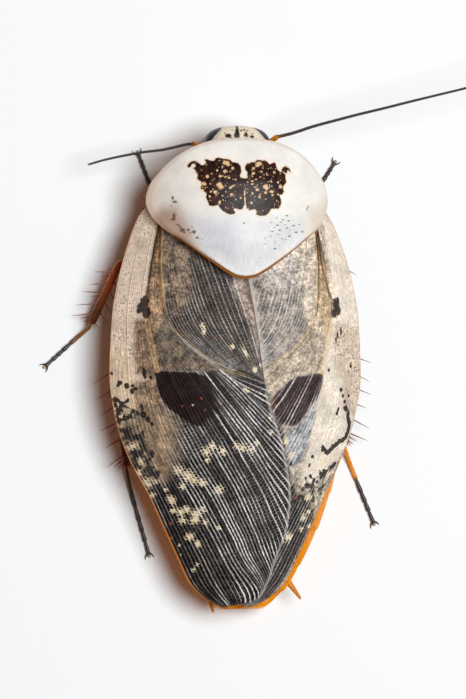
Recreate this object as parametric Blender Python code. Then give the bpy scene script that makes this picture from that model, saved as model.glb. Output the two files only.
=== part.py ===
"""A porcelain roach, Gyna caffrorum, life size, standing on its six feet.

+Y points to the head, +X to the animal's right and +Z up. Sizes are in millimetres and become
metres when a node is made. The body is laid out about its own midline, x = 0, with the feet at
z = 0, and at the end the whole animal is shifted so that the origin lies under the middle of its
bounding box.
"""

import math

import bmesh
import bpy
import numpy as np
from mathutils import Matrix

MM = 0.001
GAP = 0.3
JOINT_GAP = 0.37
LEFT = -1.0
RIGHT = 1.0


def through(*knots):
    """A smooth function through (place, value) knots: cubic pieces whose slopes never overshoot."""
    places, values = np.array(sorted(knots), float).T
    steps = np.diff(places)
    rises = np.diff(values) / steps
    slopes = np.concatenate([rises[:1], np.zeros(len(rises) - 1), rises[-1:]])
    same_way = rises[:-1] * rises[1:] > 0
    before, after = rises[:-1][same_way], rises[1:][same_way]
    slopes[1:-1][same_way] = 2 * before * after / (before + after)

    def value(place):
        at = np.clip(place, places[0], places[-1])
        k = np.clip(np.searchsorted(places, at) - 1, 0, len(steps) - 1)
        t = (at - places[k]) / steps[k]
        return (
            values[k] * (1 + 2 * t) * (1 - t) ** 2
            + slopes[k] * steps[k] * t * (1 - t) ** 2
            + values[k + 1] * t * t * (3 - 2 * t)
            - slopes[k + 1] * steps[k] * t * t * (1 - t)
        )

    return value


def smooth_step(t):
    t = np.clip(t, 0.0, 1.0)
    return t * t * (3 - 2 * t)


# The folded wing covers, as one dome over the body
WING_HALF_WIDTH = through(
    (-15.6, 0.9), (-15.3, 1.6), (-14.8, 2.4), (-13.9, 3.25), (-12.1, 4.13), (-10.2, 5.0), (-8.4, 5.8),
    (-5.6, 7.17), (-3.3, 7.95), (-0.3, 8.38), (3.4, 8.22), (5.6, 7.87), (8.9, 6.88), (10.3, 6.2),
    (10.9, 5.6), (11.3, 4.9),
)
WING_INNER_EDGE = through(
    (-15.6, 0.3), (-15.2, 1.2), (-14.4, 1.74), (-12.1, 2.48), (-10.6, 3.04), (-8.5, 3.24), (-5.25, 2.78),
    (-3.0, 2.0), (-0.8, 1.34), (2.6, 0.87), (5.7, 0.4), (6.5, 0.2), (8.0, -0.3), (9.5, -0.8), (11.3, -2.2),
)
WING_MARGIN_Z = through(
    (-15.6, 3.7), (-12.0, 3.7), (-6.0, 3.8), (0.0, 3.95), (4.0, 3.95), (7.0, 3.85), (9.0, 3.6), (11.3, 3.3)
)
WING_RIDGE_Z = through(
    (-15.6, 4.4), (-14.0, 4.85), (-12.0, 5.4), (-8.0, 6.3), (-4.0, 6.9), (0.0, 7.1), (3.0, 6.9),
    (6.0, 6.45), (11.3, 6.45),
)
WING_THICKNESS = 0.5
WING_OVERLAP_DROP = 1.0
OVERLAP_SHELF = 0.4
OVERLAP_RISE = through((-15.6, 0.4), (-12.0, 1.1), (-7.0, 2.2), (11.3, 2.2))
BODY_CLEARANCE = 0.5

# The veins run as a fan from the wing root. They are numbered from the claval furrow, 0, to the outer
# margin, 48. Each row holds a vein's number, its first and last y, and then at even steps between them
# the share of the way from the inner edge to the margin at which it lies
VEIN_TABLE = (
    (0, 10.4, -0.85, 0.775, 0.738, 0.721, 0.707, 0.692, 0.674, 0.648, 0.592, 0.471, 0.3, 0.0),
    (6, 10.42, -3.7, 0.778, 0.735, 0.715, 0.698, 0.675, 0.636, 0.54, 0.36, 0.2, 0.095, 0.0),
    (12, 10.44, -6.9, 0.777, 0.739, 0.723, 0.706, 0.67, 0.56, 0.39, 0.28, 0.192, 0.115, 0.0),
    (17, 10.46, -10.3, 0.775, 0.744, 0.734, 0.715, 0.64, 0.49, 0.375, 0.295, 0.225, 0.142, 0.0),
    (21, 10.48, -12.2, 0.773, 0.75, 0.745, 0.725, 0.638, 0.51, 0.425, 0.362, 0.3, 0.2, 0.0),
    (27, 10.52, -13.9, 0.77, 0.763, 0.766, 0.75, 0.69, 0.61, 0.55, 0.498, 0.43, 0.29, 0.0),
    (33, 10.6, -14.9, 0.768, 0.773, 0.78, 0.772, 0.748, 0.718, 0.688, 0.644, 0.565, 0.405, 0.0),
    (39, 10.95, -15.35, 0.861, 0.862, 0.862, 0.854, 0.838, 0.822, 0.81, 0.795, 0.745, 0.626, 0.43),
    (48, 11.3, -15.6, 1.0, 1.0, 1.0, 1.0, 1.0, 1.0, 1.0, 1.0, 1.0, 1.0, 1.0),
)
VEIN_NUMBERS = [row[0] for row in VEIN_TABLE]
VEIN_ROOT_Y = through(*[row[:2] for row in VEIN_TABLE])
VEIN_END_Y = through(*[row[0:3:2] for row in VEIN_TABLE])
SHARES_ALONG = [through(*zip(np.linspace(0.0, 1.0, len(row) - 3), row[3:])) for row in VEIN_TABLE]
CLAVUS_VEINS = 22
ANAL_VEIN_FAN = 1.6
VEIN_HEIGHT = 0.14
VEIN_FOOT = 1.1
MAIN_VEINS = (-14, -7, 0, 8, 17, 26, 36, 42)
BETWEEN_VEINS = (-22, -20.5, -18, -10.5, -3.5, 4, 12.5, 21.5, 31, 39, 45.5, 47, 48)
WING_ROWS = 20

# The pronotum, the shield over the front of the thorax
PRONOTUM_CENTRE_Y = 10.9
PRONOTUM_OUTLINE = (
    (0.0, 15.15), (1.8, 15.0), (3.1, 14.6), (4.3, 13.9), (5.25, 12.95), (5.9, 11.95), (6.07, 11.0),
    (5.8, 10.1), (5.1, 9.2), (4.1, 8.45), (3.1, 7.68), (2.1, 6.95), (1.25, 6.36), (0.55, 6.02), (0.0, 5.94),
)
PRONOTUM_RIDGE_Z = through((5.94, 7.45), (9.0, 7.86), (12.0, 7.7), (14.0, 7.0), (15.15, 6.35))
PRONOTUM_REACH = 6.07
PRONOTUM_DROP = 3.2
PRONOTUM_POWER = 2.8
PRONOTUM_THICKNESS = 0.55
PRONOTUM_RINGS = (0.22, 0.42, 0.6, 0.76, 0.89, 1.0)

# Thorax and abdomen below the wing covers
PROTHORAX_HALF_WIDTH = through((10.8, 2.3), (11.4, 2.9), (12.5, 2.6), (13.1, 1.8))
PTEROTHORAX_HALF_WIDTH = through((3.3, 5.3), (6.0, 5.2), (8.5, 4.6), (10.0, 3.8))
ABDOMEN_HALF_WIDTH = through(
    (-15.75, 1.35), (-15.3, 2.02), (-14.1, 3.07), (-12.7, 3.87), (-10.5, 4.97), (-8.1, 5.93), (-5.5, 6.8),
    (-2.0, 7.15), (1.0, 6.3), (2.9, 5.5),
)
ABDOMEN_BEND = through((-15.8, 0.76), (-12.0, 0.82), (-8.1, 0.7), (-5.0, 0.28), (2.9, 0.0))
ABDOMEN_MARGIN_TOP = through((-15.8, 2.3), (-14.0, 2.52), (-10.0, 2.7), (2.9, 3.05))
ABDOMEN_MARGIN_BASE = through((-15.8, 1.95), (-12.0, 2.3), (-8.0, 2.4), (-2.0, 2.65), (2.9, 2.75))
ABDOMEN_KEEL_Z = through((-15.8, 1.65), (-12.0, 1.45), (-7.0, 1.5), (-3.5, 2.0), (-2.2, 2.6), (2.9, 2.75))
THORAX_BASE_Z = 2.8
PROTHORAX_BASE_Z = 3.1
SEGMENT_EDGES = (1.2, -1.0, -3.4, -5.8, -8.1, -10.5, -12.9, -14.6)
SEGMENT_STEP = 0.12

# The head: level slices as (z, middle y, half depth, half width), narrowest where the eyes sit under the
# brim of the crown. The jaws and lips hang below it, and the gap between is the line of the mouth
HEAD_SLICES = (
    (5.46, 14.7, 0.5, 0.75), (5.3, 14.72, 0.86, 1.2), (5.0, 14.76, 1.12, 1.6), (4.72, 14.79, 1.2, 1.45),
    (4.4, 14.8, 1.21, 1.12), (4.0, 14.75, 1.2, 1.06), (3.65, 14.64, 1.15, 1.3), (3.3, 14.5, 1.05, 1.6),
    (2.95, 14.32, 0.94, 1.45), (2.64, 14.13, 0.82, 1.22),
)
MOUTH_SLICES = ((2.32, 14.0, 0.76, 1.06), (2.08, 13.86, 0.62, 0.88), (1.78, 13.74, 0.36, 0.5))
EYE_CENTRE = (1.1, 14.78, 4.2)
EYE_RADII = (1.08, 1.24, 0.76)
EYE_GAP = 0.38

# Legs, as the joints of coxa, femur, tibia and tarsus in order; each foot ends at its claws
SOLE_Z = 0.2
LEGS = {
    "foreleg_left": ((-1.15, 11.9, 2.3), (-2.0, 8.9, 1.75), (-4.8, 9.2, 2.2), (-4.9, 11.5, 0.72), (-5.82, 14.3, SOLE_Z)),
    "foreleg_right": ((1.15, 11.9, 2.3), (2.0, 8.9, 1.75), (5.0, 9.3, 2.2), (6.0, 11.4, 0.72), (7.45, 13.75, SOLE_Z)),
    "midleg_left": ((-1.55, 7.6, 2.0), (-3.4, 4.2, 1.75), (-6.75, 6.7, 2.25), (-9.1, 3.0, 0.75), (-12.0, 0.25, SOLE_Z)),
    "midleg_right": ((1.55, 7.6, 2.0), (3.4, 4.2, 1.75), (6.5, 7.6, 2.2), (6.75, 3.2, 0.75), (7.2, -0.8, SOLE_Z)),
    "hindleg_left": ((-1.7, 3.0, 2.0), (-3.4, -2.1, 1.72), (-6.85, 1.3, 1.95), (-6.75, -6.4, 0.8), (-5.1, -12.2, SOLE_Z)),
    "hindleg_right": ((1.7, 3.0, 2.0), (3.4, -1.9, 1.72), (7.1, 2.1, 1.95), (8.0, -4.9, 0.8), (10.1, -10.2, SOLE_Z)),
}
# Half widths and half depths at the thickest place, and how many pairs of spines stand along the tibia
LEG_SIZES = {
    "foreleg": {"coxa": (0.85, 0.55), "femur": (0.5, 0.4), "tibia": (0.29, 0.27), "rows": 2, "spine": 0.95},
    "midleg": {"coxa": (1.15, 0.5), "femur": (0.58, 0.42), "tibia": (0.31, 0.29), "rows": 3, "spine": 1.15},
    "hindleg": {"coxa": (1.3, 0.5), "femur": (0.62, 0.42), "tibia": (0.33, 0.3), "rows": 4, "spine": 1.3},
}
SPURS = ((0.95, 0.1), (-0.95, 0.1), (0.2, 1.0))
TARSUS_RADIUS = 0.26
SPINE_RADIUS = 0.24
CLAW_LENGTH = 0.55

# Feelers: the scape's two ends, then the flagellum's path
SCAPE_RADIUS = 0.27
ANTENNA_RADIUS = 0.25
ANTENNA_TIP_RADIUS = 0.12
SCAPES = {
    "left": ((-2.1, 14.52, 2.72), (-2.36, 14.71, 3.2)),
    "right": ((2.1, 14.52, 2.8), (2.48, 15.02, 3.4)),
}
FLAGELLA = {
    "left": (
        (-2.68, 14.83, 3.52), (-3.2, 14.78, 3.7), (-3.9, 14.62, 3.8), (-4.9, 14.4, 3.76), (-6.1, 14.25, 3.64), (-7.3, 14.03, 3.5),
        (-8.7, 13.72, 3.3), (-9.7, 13.42, 3.1),
    ),
    "right": (
        (2.8, 15.3, 3.72), (3.8, 15.56, 4.28), (4.97, 15.96, 4.8), (6.31, 16.33, 5.1), (7.92, 16.76, 5.4),
        (9.64, 17.18, 5.6), (11.36, 17.62, 5.75), (13.1, 18.05, 5.9), (15.0, 18.52, 6.0), (17.3, 19.2, 6.05),
        (19.4, 19.95, 6.0),
    ),
}
PALP_PATH = ((0.93, 15.12, 2.14), (1.12, 15.4, 1.68), (1.05, 15.4, 1.2), (0.8, 15.2, 0.82))
CERCI = {
    "left": ((-1.7, -13.6, 1.85), (-1.45, -14.6, 1.85), (-1.12, -16.0, 1.95)),
    "right": ((3.1, -12.75, 1.85), (3.77, -13.75, 1.85), (4.78, -15.15, 1.95)),
}
CERCUS_RADIUS = 0.3

COLOURS = {
    "porcelain": (0.78, 0.74, 0.66),
    "wing": (0.3, 0.26, 0.21),
    "amber": (0.62, 0.28, 0.06),
    "dark_brown": (0.09, 0.055, 0.04),
    "eye": (0.03, 0.03, 0.045),
}


def material(name):
    found = bpy.data.materials.get(name)
    if found:
        return found
    made = bpy.data.materials.new(name)
    made.use_nodes = True
    shader = made.node_tree.nodes["Principled BSDF"]
    shader.inputs["Base Color"].default_value = (*COLOURS[name], 1.0)
    shader.inputs["Roughness"].default_value = 0.4
    shader.inputs["Metallic"].default_value = 0.0
    return made


def add_object(name, points, faces):
    """A mesh object from arrays, with its faces recalculated to point out."""
    mesh = bpy.data.meshes.new(name)
    mesh.from_pydata([tuple(p) for p in points], [], [tuple(int(i) for i in f) for f in faces])
    shape = bmesh.new()
    shape.from_mesh(mesh)
    bmesh.ops.remove_doubles(shape, verts=shape.verts, dist=1e-4)
    bmesh.ops.recalc_face_normals(shape, faces=shape.faces)
    if shape.calc_volume(signed=True) < 0:
        bmesh.ops.reverse_faces(shape, faces=shape.faces)
    shape.to_mesh(mesh)
    shape.free()
    obj = bpy.data.objects.new(name, mesh)
    bpy.context.scene.collection.objects.link(obj)
    return obj


def closed_from_grids(name, top, under):
    """A closed plate between two grids of points, split into triangles alike on both faces."""
    rows, columns = top.shape[:2]
    index = np.arange(rows * columns).reshape(rows, columns)
    a, b, c, d = index[:-1, :-1], index[1:, :-1], index[1:, 1:], index[:-1, 1:]
    upper = np.concatenate([np.stack([a, b, c], -1).reshape(-1, 3), np.stack([a, c, d], -1).reshape(-1, 3)])
    lower = upper[:, ::-1] + rows * columns
    rim = np.concatenate([index[0, :], index[1:, -1], index[-1, -2::-1], index[-2:0:-1, 0]])
    onward = np.roll(rim, -1)
    wall = np.concatenate(
        [
            np.stack([rim, onward, onward + rows * columns], -1),
            np.stack([rim, onward + rows * columns, rim + rows * columns], -1),
        ]
    )
    points = np.concatenate([top.reshape(-1, 3), under.reshape(-1, 3)])
    return add_object(name, points, np.concatenate([upper, lower, wall]))


def swept(name, path, half_widths, half_depths, sides, up=(0.0, 0.0, 1.0), floor=None):
    """A closed limb: ellipses of the given half sizes, square to a path of points, flattened at the floor."""
    path = np.array(path, float)
    ahead = np.gradient(path, axis=0)
    ahead /= np.linalg.norm(ahead, axis=1)[:, None]
    across = np.cross(ahead, np.array(up, float))
    across /= np.linalg.norm(across, axis=1)[:, None]
    above = np.cross(across, ahead)
    turn = 2 * np.pi * (np.arange(sides) + 0.5) / sides
    rings = (
        path[:, None, :]
        + np.cos(turn)[None, :, None] * across[:, None, :] * np.array(half_widths, float)[:, None, None]
        + np.sin(turn)[None, :, None] * above[:, None, :] * np.array(half_depths, float)[:, None, None]
    )
    if floor is not None:
        rings[..., 2] = np.maximum(rings[..., 2], floor)
    stations = len(path)
    index = np.arange(stations * sides).reshape(stations, sides)
    onward = np.roll(index, -1, axis=1)
    sheath = np.concatenate(
        [
            np.stack([index[:-1], onward[:-1], onward[1:]], -1).reshape(-1, 3),
            np.stack([index[:-1], onward[1:], index[1:]], -1).reshape(-1, 3),
        ]
    )
    fan = np.arange(1, sides - 1)
    caps = [np.stack([np.full_like(fan, end[0]), end[fan], end[fan + 1]], -1) for end in (index[0], index[-1])]
    return add_object(name, rings.reshape(-1, 3), np.concatenate([sheath, *caps]))


def curve_points(knots, count):
    """Points along a smooth curve through the knots, evenly spaced in the knots' own chord length."""
    knots = np.array(knots, float)
    chord = np.concatenate([[0.0], np.cumsum(np.linalg.norm(np.diff(knots, axis=0), axis=1))])
    places = np.linspace(0.0, chord[-1], count)
    return np.stack([through(*zip(chord, knots[:, axis]))(places) for axis in range(3)], -1)


def join(core, pieces):
    """Unites the pieces with the core by one Boolean, then keeps the largest closed surface."""
    if pieces:
        group = bpy.data.collections.new(core.name + "_pieces")
        bpy.context.scene.collection.children.link(group)
        for piece in pieces:
            bpy.context.scene.collection.objects.unlink(piece)
            group.objects.link(piece)
        union = core.modifiers.new("union", "BOOLEAN")
        union.operation = "UNION"
        union.operand_type = "COLLECTION"
        union.collection = group
        union.solver = "EXACT"
        apply_modifiers(core)
        for piece in pieces:
            bpy.data.objects.remove(piece)
        bpy.data.collections.remove(group)
    keep_largest(core)
    return core


def cut(body, cutter):
    """Takes the cutter's shape out of the body."""
    difference = body.modifiers.new("cut", "BOOLEAN")
    difference.operation = "DIFFERENCE"
    difference.object = cutter
    difference.solver = "EXACT"
    apply_modifiers(body)
    bpy.data.objects.remove(cutter)
    keep_largest(body)
    return body


def apply_modifiers(obj):
    graph = bpy.context.evaluated_depsgraph_get()
    graph.update()
    baked = bpy.data.meshes.new_from_object(obj.evaluated_get(graph))
    obj.modifiers.clear()
    obj.data = baked


def keep_largest(obj):
    """Drops every closed surface of the mesh but the one with the most volume."""
    shape = bmesh.new()
    shape.from_mesh(obj.data)
    bmesh.ops.remove_doubles(shape, verts=shape.verts, dist=1e-4)
    bmesh.ops.triangulate(shape, faces=shape.faces)
    left = set(shape.faces)
    shells = []
    while left:
        shell, edge = set(), [left.pop()]
        while edge:
            face = edge.pop()
            shell.add(face)
            for side in face.edges:
                for beside in side.link_faces:
                    if beside in left:
                        left.remove(beside)
                        edge.append(beside)
        shells.append(shell)

    def volume(shell):
        corners = [[v.co for v in face.verts] for face in shell]
        return abs(sum(a.dot(b.cross(c)) for a, b, c in corners)) / 6

    shells.sort(key=volume)
    for shell in shells[:-1]:
        bmesh.ops.delete(shape, geom=list(shell), context="FACES")
    loose = [v for v in shape.verts if not v.link_faces]
    bmesh.ops.delete(shape, geom=loose, context="VERTS")
    shape.to_mesh(obj.data)
    shape.free()


def finish_node(obj, colour):
    """Scales the mesh to metres, shades it and gives it its material."""
    obj.data.transform(Matrix.Scale(MM, 4))
    obj.data.materials.clear()
    obj.data.materials.append(material(colour))
    obj.data.shade_smooth()
    obj.data.set_sharp_from_angle(angle=math.radians(50))
    return obj


def dome_z(x, y):
    """Height of the folded wing covers' upper surface: a parabola from ridge to margin."""
    share = np.clip(np.abs(x) / WING_HALF_WIDTH(y), 0.0, 1.0)
    margin = WING_MARGIN_Z(y)
    return margin + (WING_RIDGE_Z(y) - margin) * (1 - share**2)


def lower_wing_drop(x, y):
    """How far the right wing cover lies below the dome, where the left one lies over it."""
    outside = x - WING_INNER_EDGE(y) - OVERLAP_SHELF
    return WING_OVERLAP_DROP * (1 - smooth_step(outside / OVERLAP_RISE(y)))


def under_wings_z(x, y):
    """The highest that the body may reach under the wing covers."""
    return dome_z(x, y) - WING_THICKNESS - lower_wing_drop(np.abs(x), y) - BODY_CLEARANCE


def pronotum_z(x, y):
    share = np.clip(np.abs(x) / PRONOTUM_REACH, 0.0, 1.0)
    return PRONOTUM_RIDGE_Z(y) - PRONOTUM_DROP * share**PRONOTUM_POWER


def vein_place(vein, t):
    """Plan position on a vein of the left wing cover. vein is 0 at the claval furrow, 48 at the outer
    margin and below 0 in the clavus, down to -22 at the inner edge; t runs from the root to the end."""
    fan = max(vein, 0.0)
    share = through(*zip(VEIN_NUMBERS, [along(t) for along in SHARES_ALONG]))(fan)
    if vein < 0:
        inward = 1.0 + vein / CLAVUS_VEINS
        share = share * inward ** (1 / (1 + ANAL_VEIN_FAN * (1 - t) ** 1.5))
    y = VEIN_ROOT_Y(fan) + (VEIN_END_Y(fan) - VEIN_ROOT_Y(fan)) * t
    inner = WING_INNER_EDGE(y)
    return inner + share * (-WING_HALF_WIDTH(y) - inner), y


def wing_cover(name, side):
    """One tegmen: a net along its veins, with the main veins raised as ridges, thickened downwards."""
    columns = [(place, 0.0) for place in BETWEEN_VEINS]
    for vein in MAIN_VEINS:
        columns += [(vein - VEIN_FOOT, 0.0), (vein, VEIN_HEIGHT), (vein + VEIN_FOOT, 0.0)]
    columns.sort()
    along = np.linspace(0.0, 1.0, WING_ROWS)
    along = along + 0.12 * np.sin(2 * np.pi * along) / (2 * np.pi)
    top = np.zeros((WING_ROWS, len(columns), 3))
    for i, t in enumerate(along):
        for j, (vein, height) in enumerate(columns):
            x, y = vein_place(vein, t)
            ends = smooth_step(min(t / 0.12, (1 - t) / 0.15))
            if side == LEFT:
                z = dome_z(x, y) + height * ends
            else:
                x = -x
                outside = x - WING_INNER_EDGE(y) - OVERLAP_SHELF
                z = dome_z(x, y) - lower_wing_drop(x, y) + height * ends * smooth_step(outside)
            top[i, j] = x, y, z
    under = top.copy()
    for i in range(WING_ROWS):
        for j in range(len(columns)):
            x, y = top[i, j, :2]
            below = dome_z(x, y) - WING_THICKNESS
            under[i, j, 2] = below if side == LEFT else below - lower_wing_drop(x, y)
    return finish_node(closed_from_grids(name, top, under), "wing")


def pronotum():
    """The shield: rings from its middle out to its outline, curved down to the sides and front."""
    half = np.array(PRONOTUM_OUTLINE, float)
    place = np.arange(len(half))
    fine = np.linspace(0, len(half) - 1, 21)
    right = np.stack([through(*zip(place, half[:, k]))(fine) for k in range(2)], -1)
    outline = np.concatenate([right, right[-2:0:-1] * (-1, 1)])
    middle = np.array([0.0, PRONOTUM_CENTRE_Y])
    count = len(outline)
    points, faces = [], []
    for lift in (0.0, -PRONOTUM_THICKNESS):
        points.append([*middle, pronotum_z(*middle) + lift])
        for ring in PRONOTUM_RINGS:
            for corner in middle + ring * (outline - middle):
                points.append([*corner, pronotum_z(*corner) + lift])
    sheet = 1 + count * len(PRONOTUM_RINGS)
    for base, turned in ((0, 1), (sheet, -1)):
        for k in range(count):
            n = (k + 1) % count
            faces.append([base, base + 1 + k, base + 1 + n][::turned])
            for ring in range(len(PRONOTUM_RINGS) - 1):
                inner, outer = base + 1 + ring * count, base + 1 + (ring + 1) * count
                faces.append([inner + k, outer + k, outer + n][::turned])
                faces.append([inner + k, outer + n, inner + n][::turned])
    rim = sheet - count
    for k in range(count):
        n = (k + 1) % count
        faces.append([rim + k, rim + sheet + k, rim + sheet + n])
        faces.append([rim + k, rim + sheet + n, rim + n])
    return finish_node(add_object("pronotum", points, faces), "porcelain")


def trunk_piece(name, rows, half_width, top_z, base_z, middle=lambda y: 0.0, columns=12):
    """A closed length of the trunk: at each y, from one side to the other, between an upper and a lower surface."""
    top = np.zeros((len(rows), columns + 1, 3))
    under = np.zeros_like(top)
    for i, y in enumerate(rows):
        for j in range(columns + 1):
            share = math.sin(math.pi / 2 * (2 * j / columns - 1))
            x = middle(y) + share * half_width(y)
            top[i, j] = x, y, top_z(x, y, abs(share))
            under[i, j] = x, y, base_z(x, y, abs(share))
    return closed_from_grids(name, top, under)


def prothorax():
    def top_z(x, y, share):
        roof = pronotum_z(x, y) - PRONOTUM_THICKNESS - BODY_CLEARANCE
        return min(roof, roof - 1.3 * share**4)

    def base_z(x, y, share):
        return PROTHORAX_BASE_Z + 0.9 * share**3

    rows = np.linspace(10.8, 13.1, 7)
    finish_node(trunk_piece("prothorax", rows, PROTHORAX_HALF_WIDTH, top_z, base_z), "amber")


def pterothorax():
    def top_z(x, y, share):
        return under_wings_z(x, y) - 0.25 * share**4

    def base_z(x, y, share):
        return THORAX_BASE_Z + 0.55 * share**3

    rows = np.linspace(3.3, 10.0, 9)
    finish_node(trunk_piece("pterothorax", rows, PTEROTHORAX_HALF_WIDTH, top_z, base_z), "amber")


def segment_flare(y):
    """Grows along each abdominal segment to 1 at its rear edge and falls back to 0 at the next one."""
    edges = (3.0, *SEGMENT_EDGES)
    for front, rear in zip(edges, edges[1:]):
        if y >= rear:
            return (front - y) / (front - rear)
    return (edges[-1] - y) / (edges[-1] + 15.8)


def abdomen():
    """Plates that overlap rearwards, seen as steps in the underside and notches along the sides."""
    lip = 0.1
    rows = [2.9]
    for edge in SEGMENT_EDGES:
        rows += [edge, edge - lip]
    rows += [-15.2, -15.55, -15.75]

    def half_width(y):
        return ABDOMEN_HALF_WIDTH(y) + SEGMENT_STEP * 1.4 * (segment_flare(y) - 0.5)

    def top_z(x, y, share):
        margin = ABDOMEN_MARGIN_TOP(y)
        roof = under_wings_z(min(abs(x), WING_HALF_WIDTH(y) - 0.3), y)
        return min(roof, margin + max(0.0, roof - margin) * smooth_step((1 - share) / 0.25))

    def base_z(x, y, share):
        keel, margin = ABDOMEN_KEEL_Z(y), ABDOMEN_MARGIN_BASE(y)
        return keel + (margin - keel) * share**2.4 - SEGMENT_STEP * (segment_flare(y) - 0.5) * (1 - share)

    body = trunk_piece("abdomen", rows, half_width, top_z, base_z, middle=ABDOMEN_BEND)
    for word in CERCI:
        cut(body, cercus_shape("socket", word, GAP))
    finish_node(body, "amber")


def head_hull(name, slices, grown=0.0):
    """Level rounded slices, one below another."""
    sides = 18
    turn = 2 * np.pi * np.arange(sides) / sides
    rings = []
    for z, middle, depth, width in slices:
        squarer = 0.86
        x = (width + grown) * np.sign(np.sin(turn)) * np.abs(np.sin(turn)) ** squarer
        y = middle + (depth + grown) * np.sign(np.cos(turn)) * np.abs(np.cos(turn)) ** squarer
        rings.append(np.stack([x, y, np.full(sides, z)], -1))
    rings[0][:, 2] += grown
    rings[-1][:, 2] -= grown
    points = np.concatenate(rings)
    index = np.arange(len(points)).reshape(len(rings), sides)
    onward = np.roll(index, -1, axis=1)
    faces = []
    for r in range(len(rings) - 1):
        for k in range(sides):
            faces.append([index[r, k], onward[r, k], onward[r + 1, k]])
            faces.append([index[r, k], onward[r + 1, k], index[r + 1, k]])
    for ring in (index[0], index[-1]):
        faces += [[ring[0], ring[k], ring[k + 1]] for k in range(1, sides - 1)]
    return add_object(name, points, faces)


def ellipsoid(name, centre, radii, rings=9, sides=16):
    """A closed ball stretched to three radii."""
    shape = bmesh.new()
    bmesh.ops.create_uvsphere(shape, u_segments=sides, v_segments=rings, radius=1.0)
    bmesh.ops.scale(shape, vec=radii, verts=shape.verts)
    bmesh.ops.translate(shape, vec=centre, verts=shape.verts)
    mesh = bpy.data.meshes.new(name)
    shape.to_mesh(mesh)
    shape.free()
    obj = bpy.data.objects.new(name, mesh)
    bpy.context.scene.collection.objects.link(obj)
    return obj


def head_and_eyes():
    finish_node(head_hull("head", HEAD_SLICES), "porcelain")
    finish_node(head_hull("mouthparts", MOUTH_SLICES), "amber")
    for side, word in ((LEFT, "left"), (RIGHT, "right")):
        x, y, z = EYE_CENTRE
        eye = ellipsoid("eye_" + word, (side * x, y, z), EYE_RADII)
        finish_node(cut(eye, head_hull("cutter", HEAD_SLICES, EYE_GAP)), "eye")


def unit(vector):
    vector = np.array(vector, float)
    return vector / np.linalg.norm(vector)


def spine(root, direction, length, radius=SPINE_RADIUS, sides=5):
    """A thorn: a cone from a root sunk in the limb to a fine tip."""
    path = [root, root + unit(direction) * length]
    return swept("spine", path, (radius, 0.05), (radius, 0.05), sides, up=(0.13, 0.31, 0.94))


def turned(vector, axis, angle):
    """The vector turned about an axis square to it."""
    return vector * math.cos(angle) + np.cross(axis, vector) * math.sin(angle)


def bent_path(joint, came, end, radius, shares):
    """Points from half a gap past the joint, first going on the way the last piece came and then round an
    arc of the given radius until they head for the end, spread at the given shares of the straight part."""
    start = joint + came * JOINT_GAP / 2
    leaving, arc = unit(end - start), [start]
    for _ in range(4):
        angle = math.acos(min(1.0, float(came @ leaving)))
        if angle < 0.02:
            break
        axis = unit(np.cross(came, leaving))
        centre = start + np.cross(axis, came) * radius
        steps = max(1, round(angle / 0.45))
        arc = [centre + turned(start - centre, axis, angle * k / steps) for k in range(steps + 1)]
        leaving = unit(end - arc[-1])
    return np.array(arc + [arc[-1] + (end - arc[-1]) * share for share in shares]), leaving


def limb(name, joint, came, end, sizes, profile, sides, bend):
    """A leg piece that faces the one before it across a gap, bends towards its own end and swells along
    the way by a profile of (share along the straight part, share of the full thickness)."""
    shares = [p[0] for p in profile if p[0] > 0]
    path, way = bent_path(joint, came, end, bend, shares)
    turns = len(path) - len(shares)
    root = profile[0][1]
    swell = np.array([root] * turns + [p[1] for p in profile if p[0] > 0])
    return swept(name, path, sizes[0] * swell, sizes[1] * swell, sides), path, way


def leg(name, joints):
    """Coxa, femur, spiny tibia and five-jointed tarsus with two claws, each its own node."""
    kind = name.split("_")[0]
    side = LEFT if name.endswith("left") else RIGHT
    sizes = LEG_SIZES[kind]
    hip, turn, knee, ankle, toe = (np.array(joint, float) for joint in joints)

    way = unit(turn - hip)
    coxa, _, way = limb(
        name + "_coxa", hip, way, turn - way * JOINT_GAP / 2, sizes["coxa"],
        ((0.0, 0.7), (0.12, 0.9), (0.35, 1.0), (0.65, 0.86), (0.9, 0.6), (1.0, 0.42)), 10, 1.0,
    )
    finish_node(coxa, "amber")

    femur_end = knee - unit(knee - turn) * JOINT_GAP / 2
    femur, path, way = limb(
        name + "_femur", turn, way, femur_end, sizes["femur"],
        ((0.0, 0.56), (0.12, 0.8), (0.35, 1.0), (0.62, 0.95), (0.85, 0.76), (1.0, 0.6)), 8, 0.5,
    )
    outward = unit(np.cross(way, (0, 0, 1)) * side)
    thorns = [
        spine(path[-1] - way * back, outward * -0.9 + way * 0.5, 0.95, 0.2) for back in (1.0, 2.1)
    ]
    finish_node(join(femur, thorns), "amber")

    tibia_end = ankle - unit(ankle - knee) * JOINT_GAP / 2
    tibia, path, way = limb(
        name + "_tibia", knee, way, tibia_end, sizes["tibia"],
        ((0.0, 0.95), (0.25, 0.95), (0.5, 0.98), (0.85, 1.05), (1.0, 0.92)), 7, 0.42,
    )
    shaft = np.linalg.norm(path[-1] - knee)
    outward = unit(np.cross(way, (0, 0, 1)))
    outward = outward if outward[0] * side > 0 else -outward
    lift = unit(np.cross(outward, way))
    lift = lift if lift[2] > 0 else -lift
    length = sizes["spine"]
    thorns = []
    for back in np.linspace(0.9, shaft * 0.72, sizes["rows"]):
        place = path[-1] - way * back
        thorns.append(spine(place, outward + way * 0.42 + lift * 0.15, length + 0.1))
        thorns.append(spine(place - way * 0.4, -outward * 0.8 + way * 0.6 + lift * 0.1, length * 0.72, 0.21))
    for swing, rise in SPURS:
        thorns.append(spine(path[-1] - way * 0.5, way * 0.55 + outward * swing + lift * rise, length * 0.8, 0.21))
    finish_node(join(tibia, thorns), "amber")

    foot(name + "_tarsus", ankle, way, toe)


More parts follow.
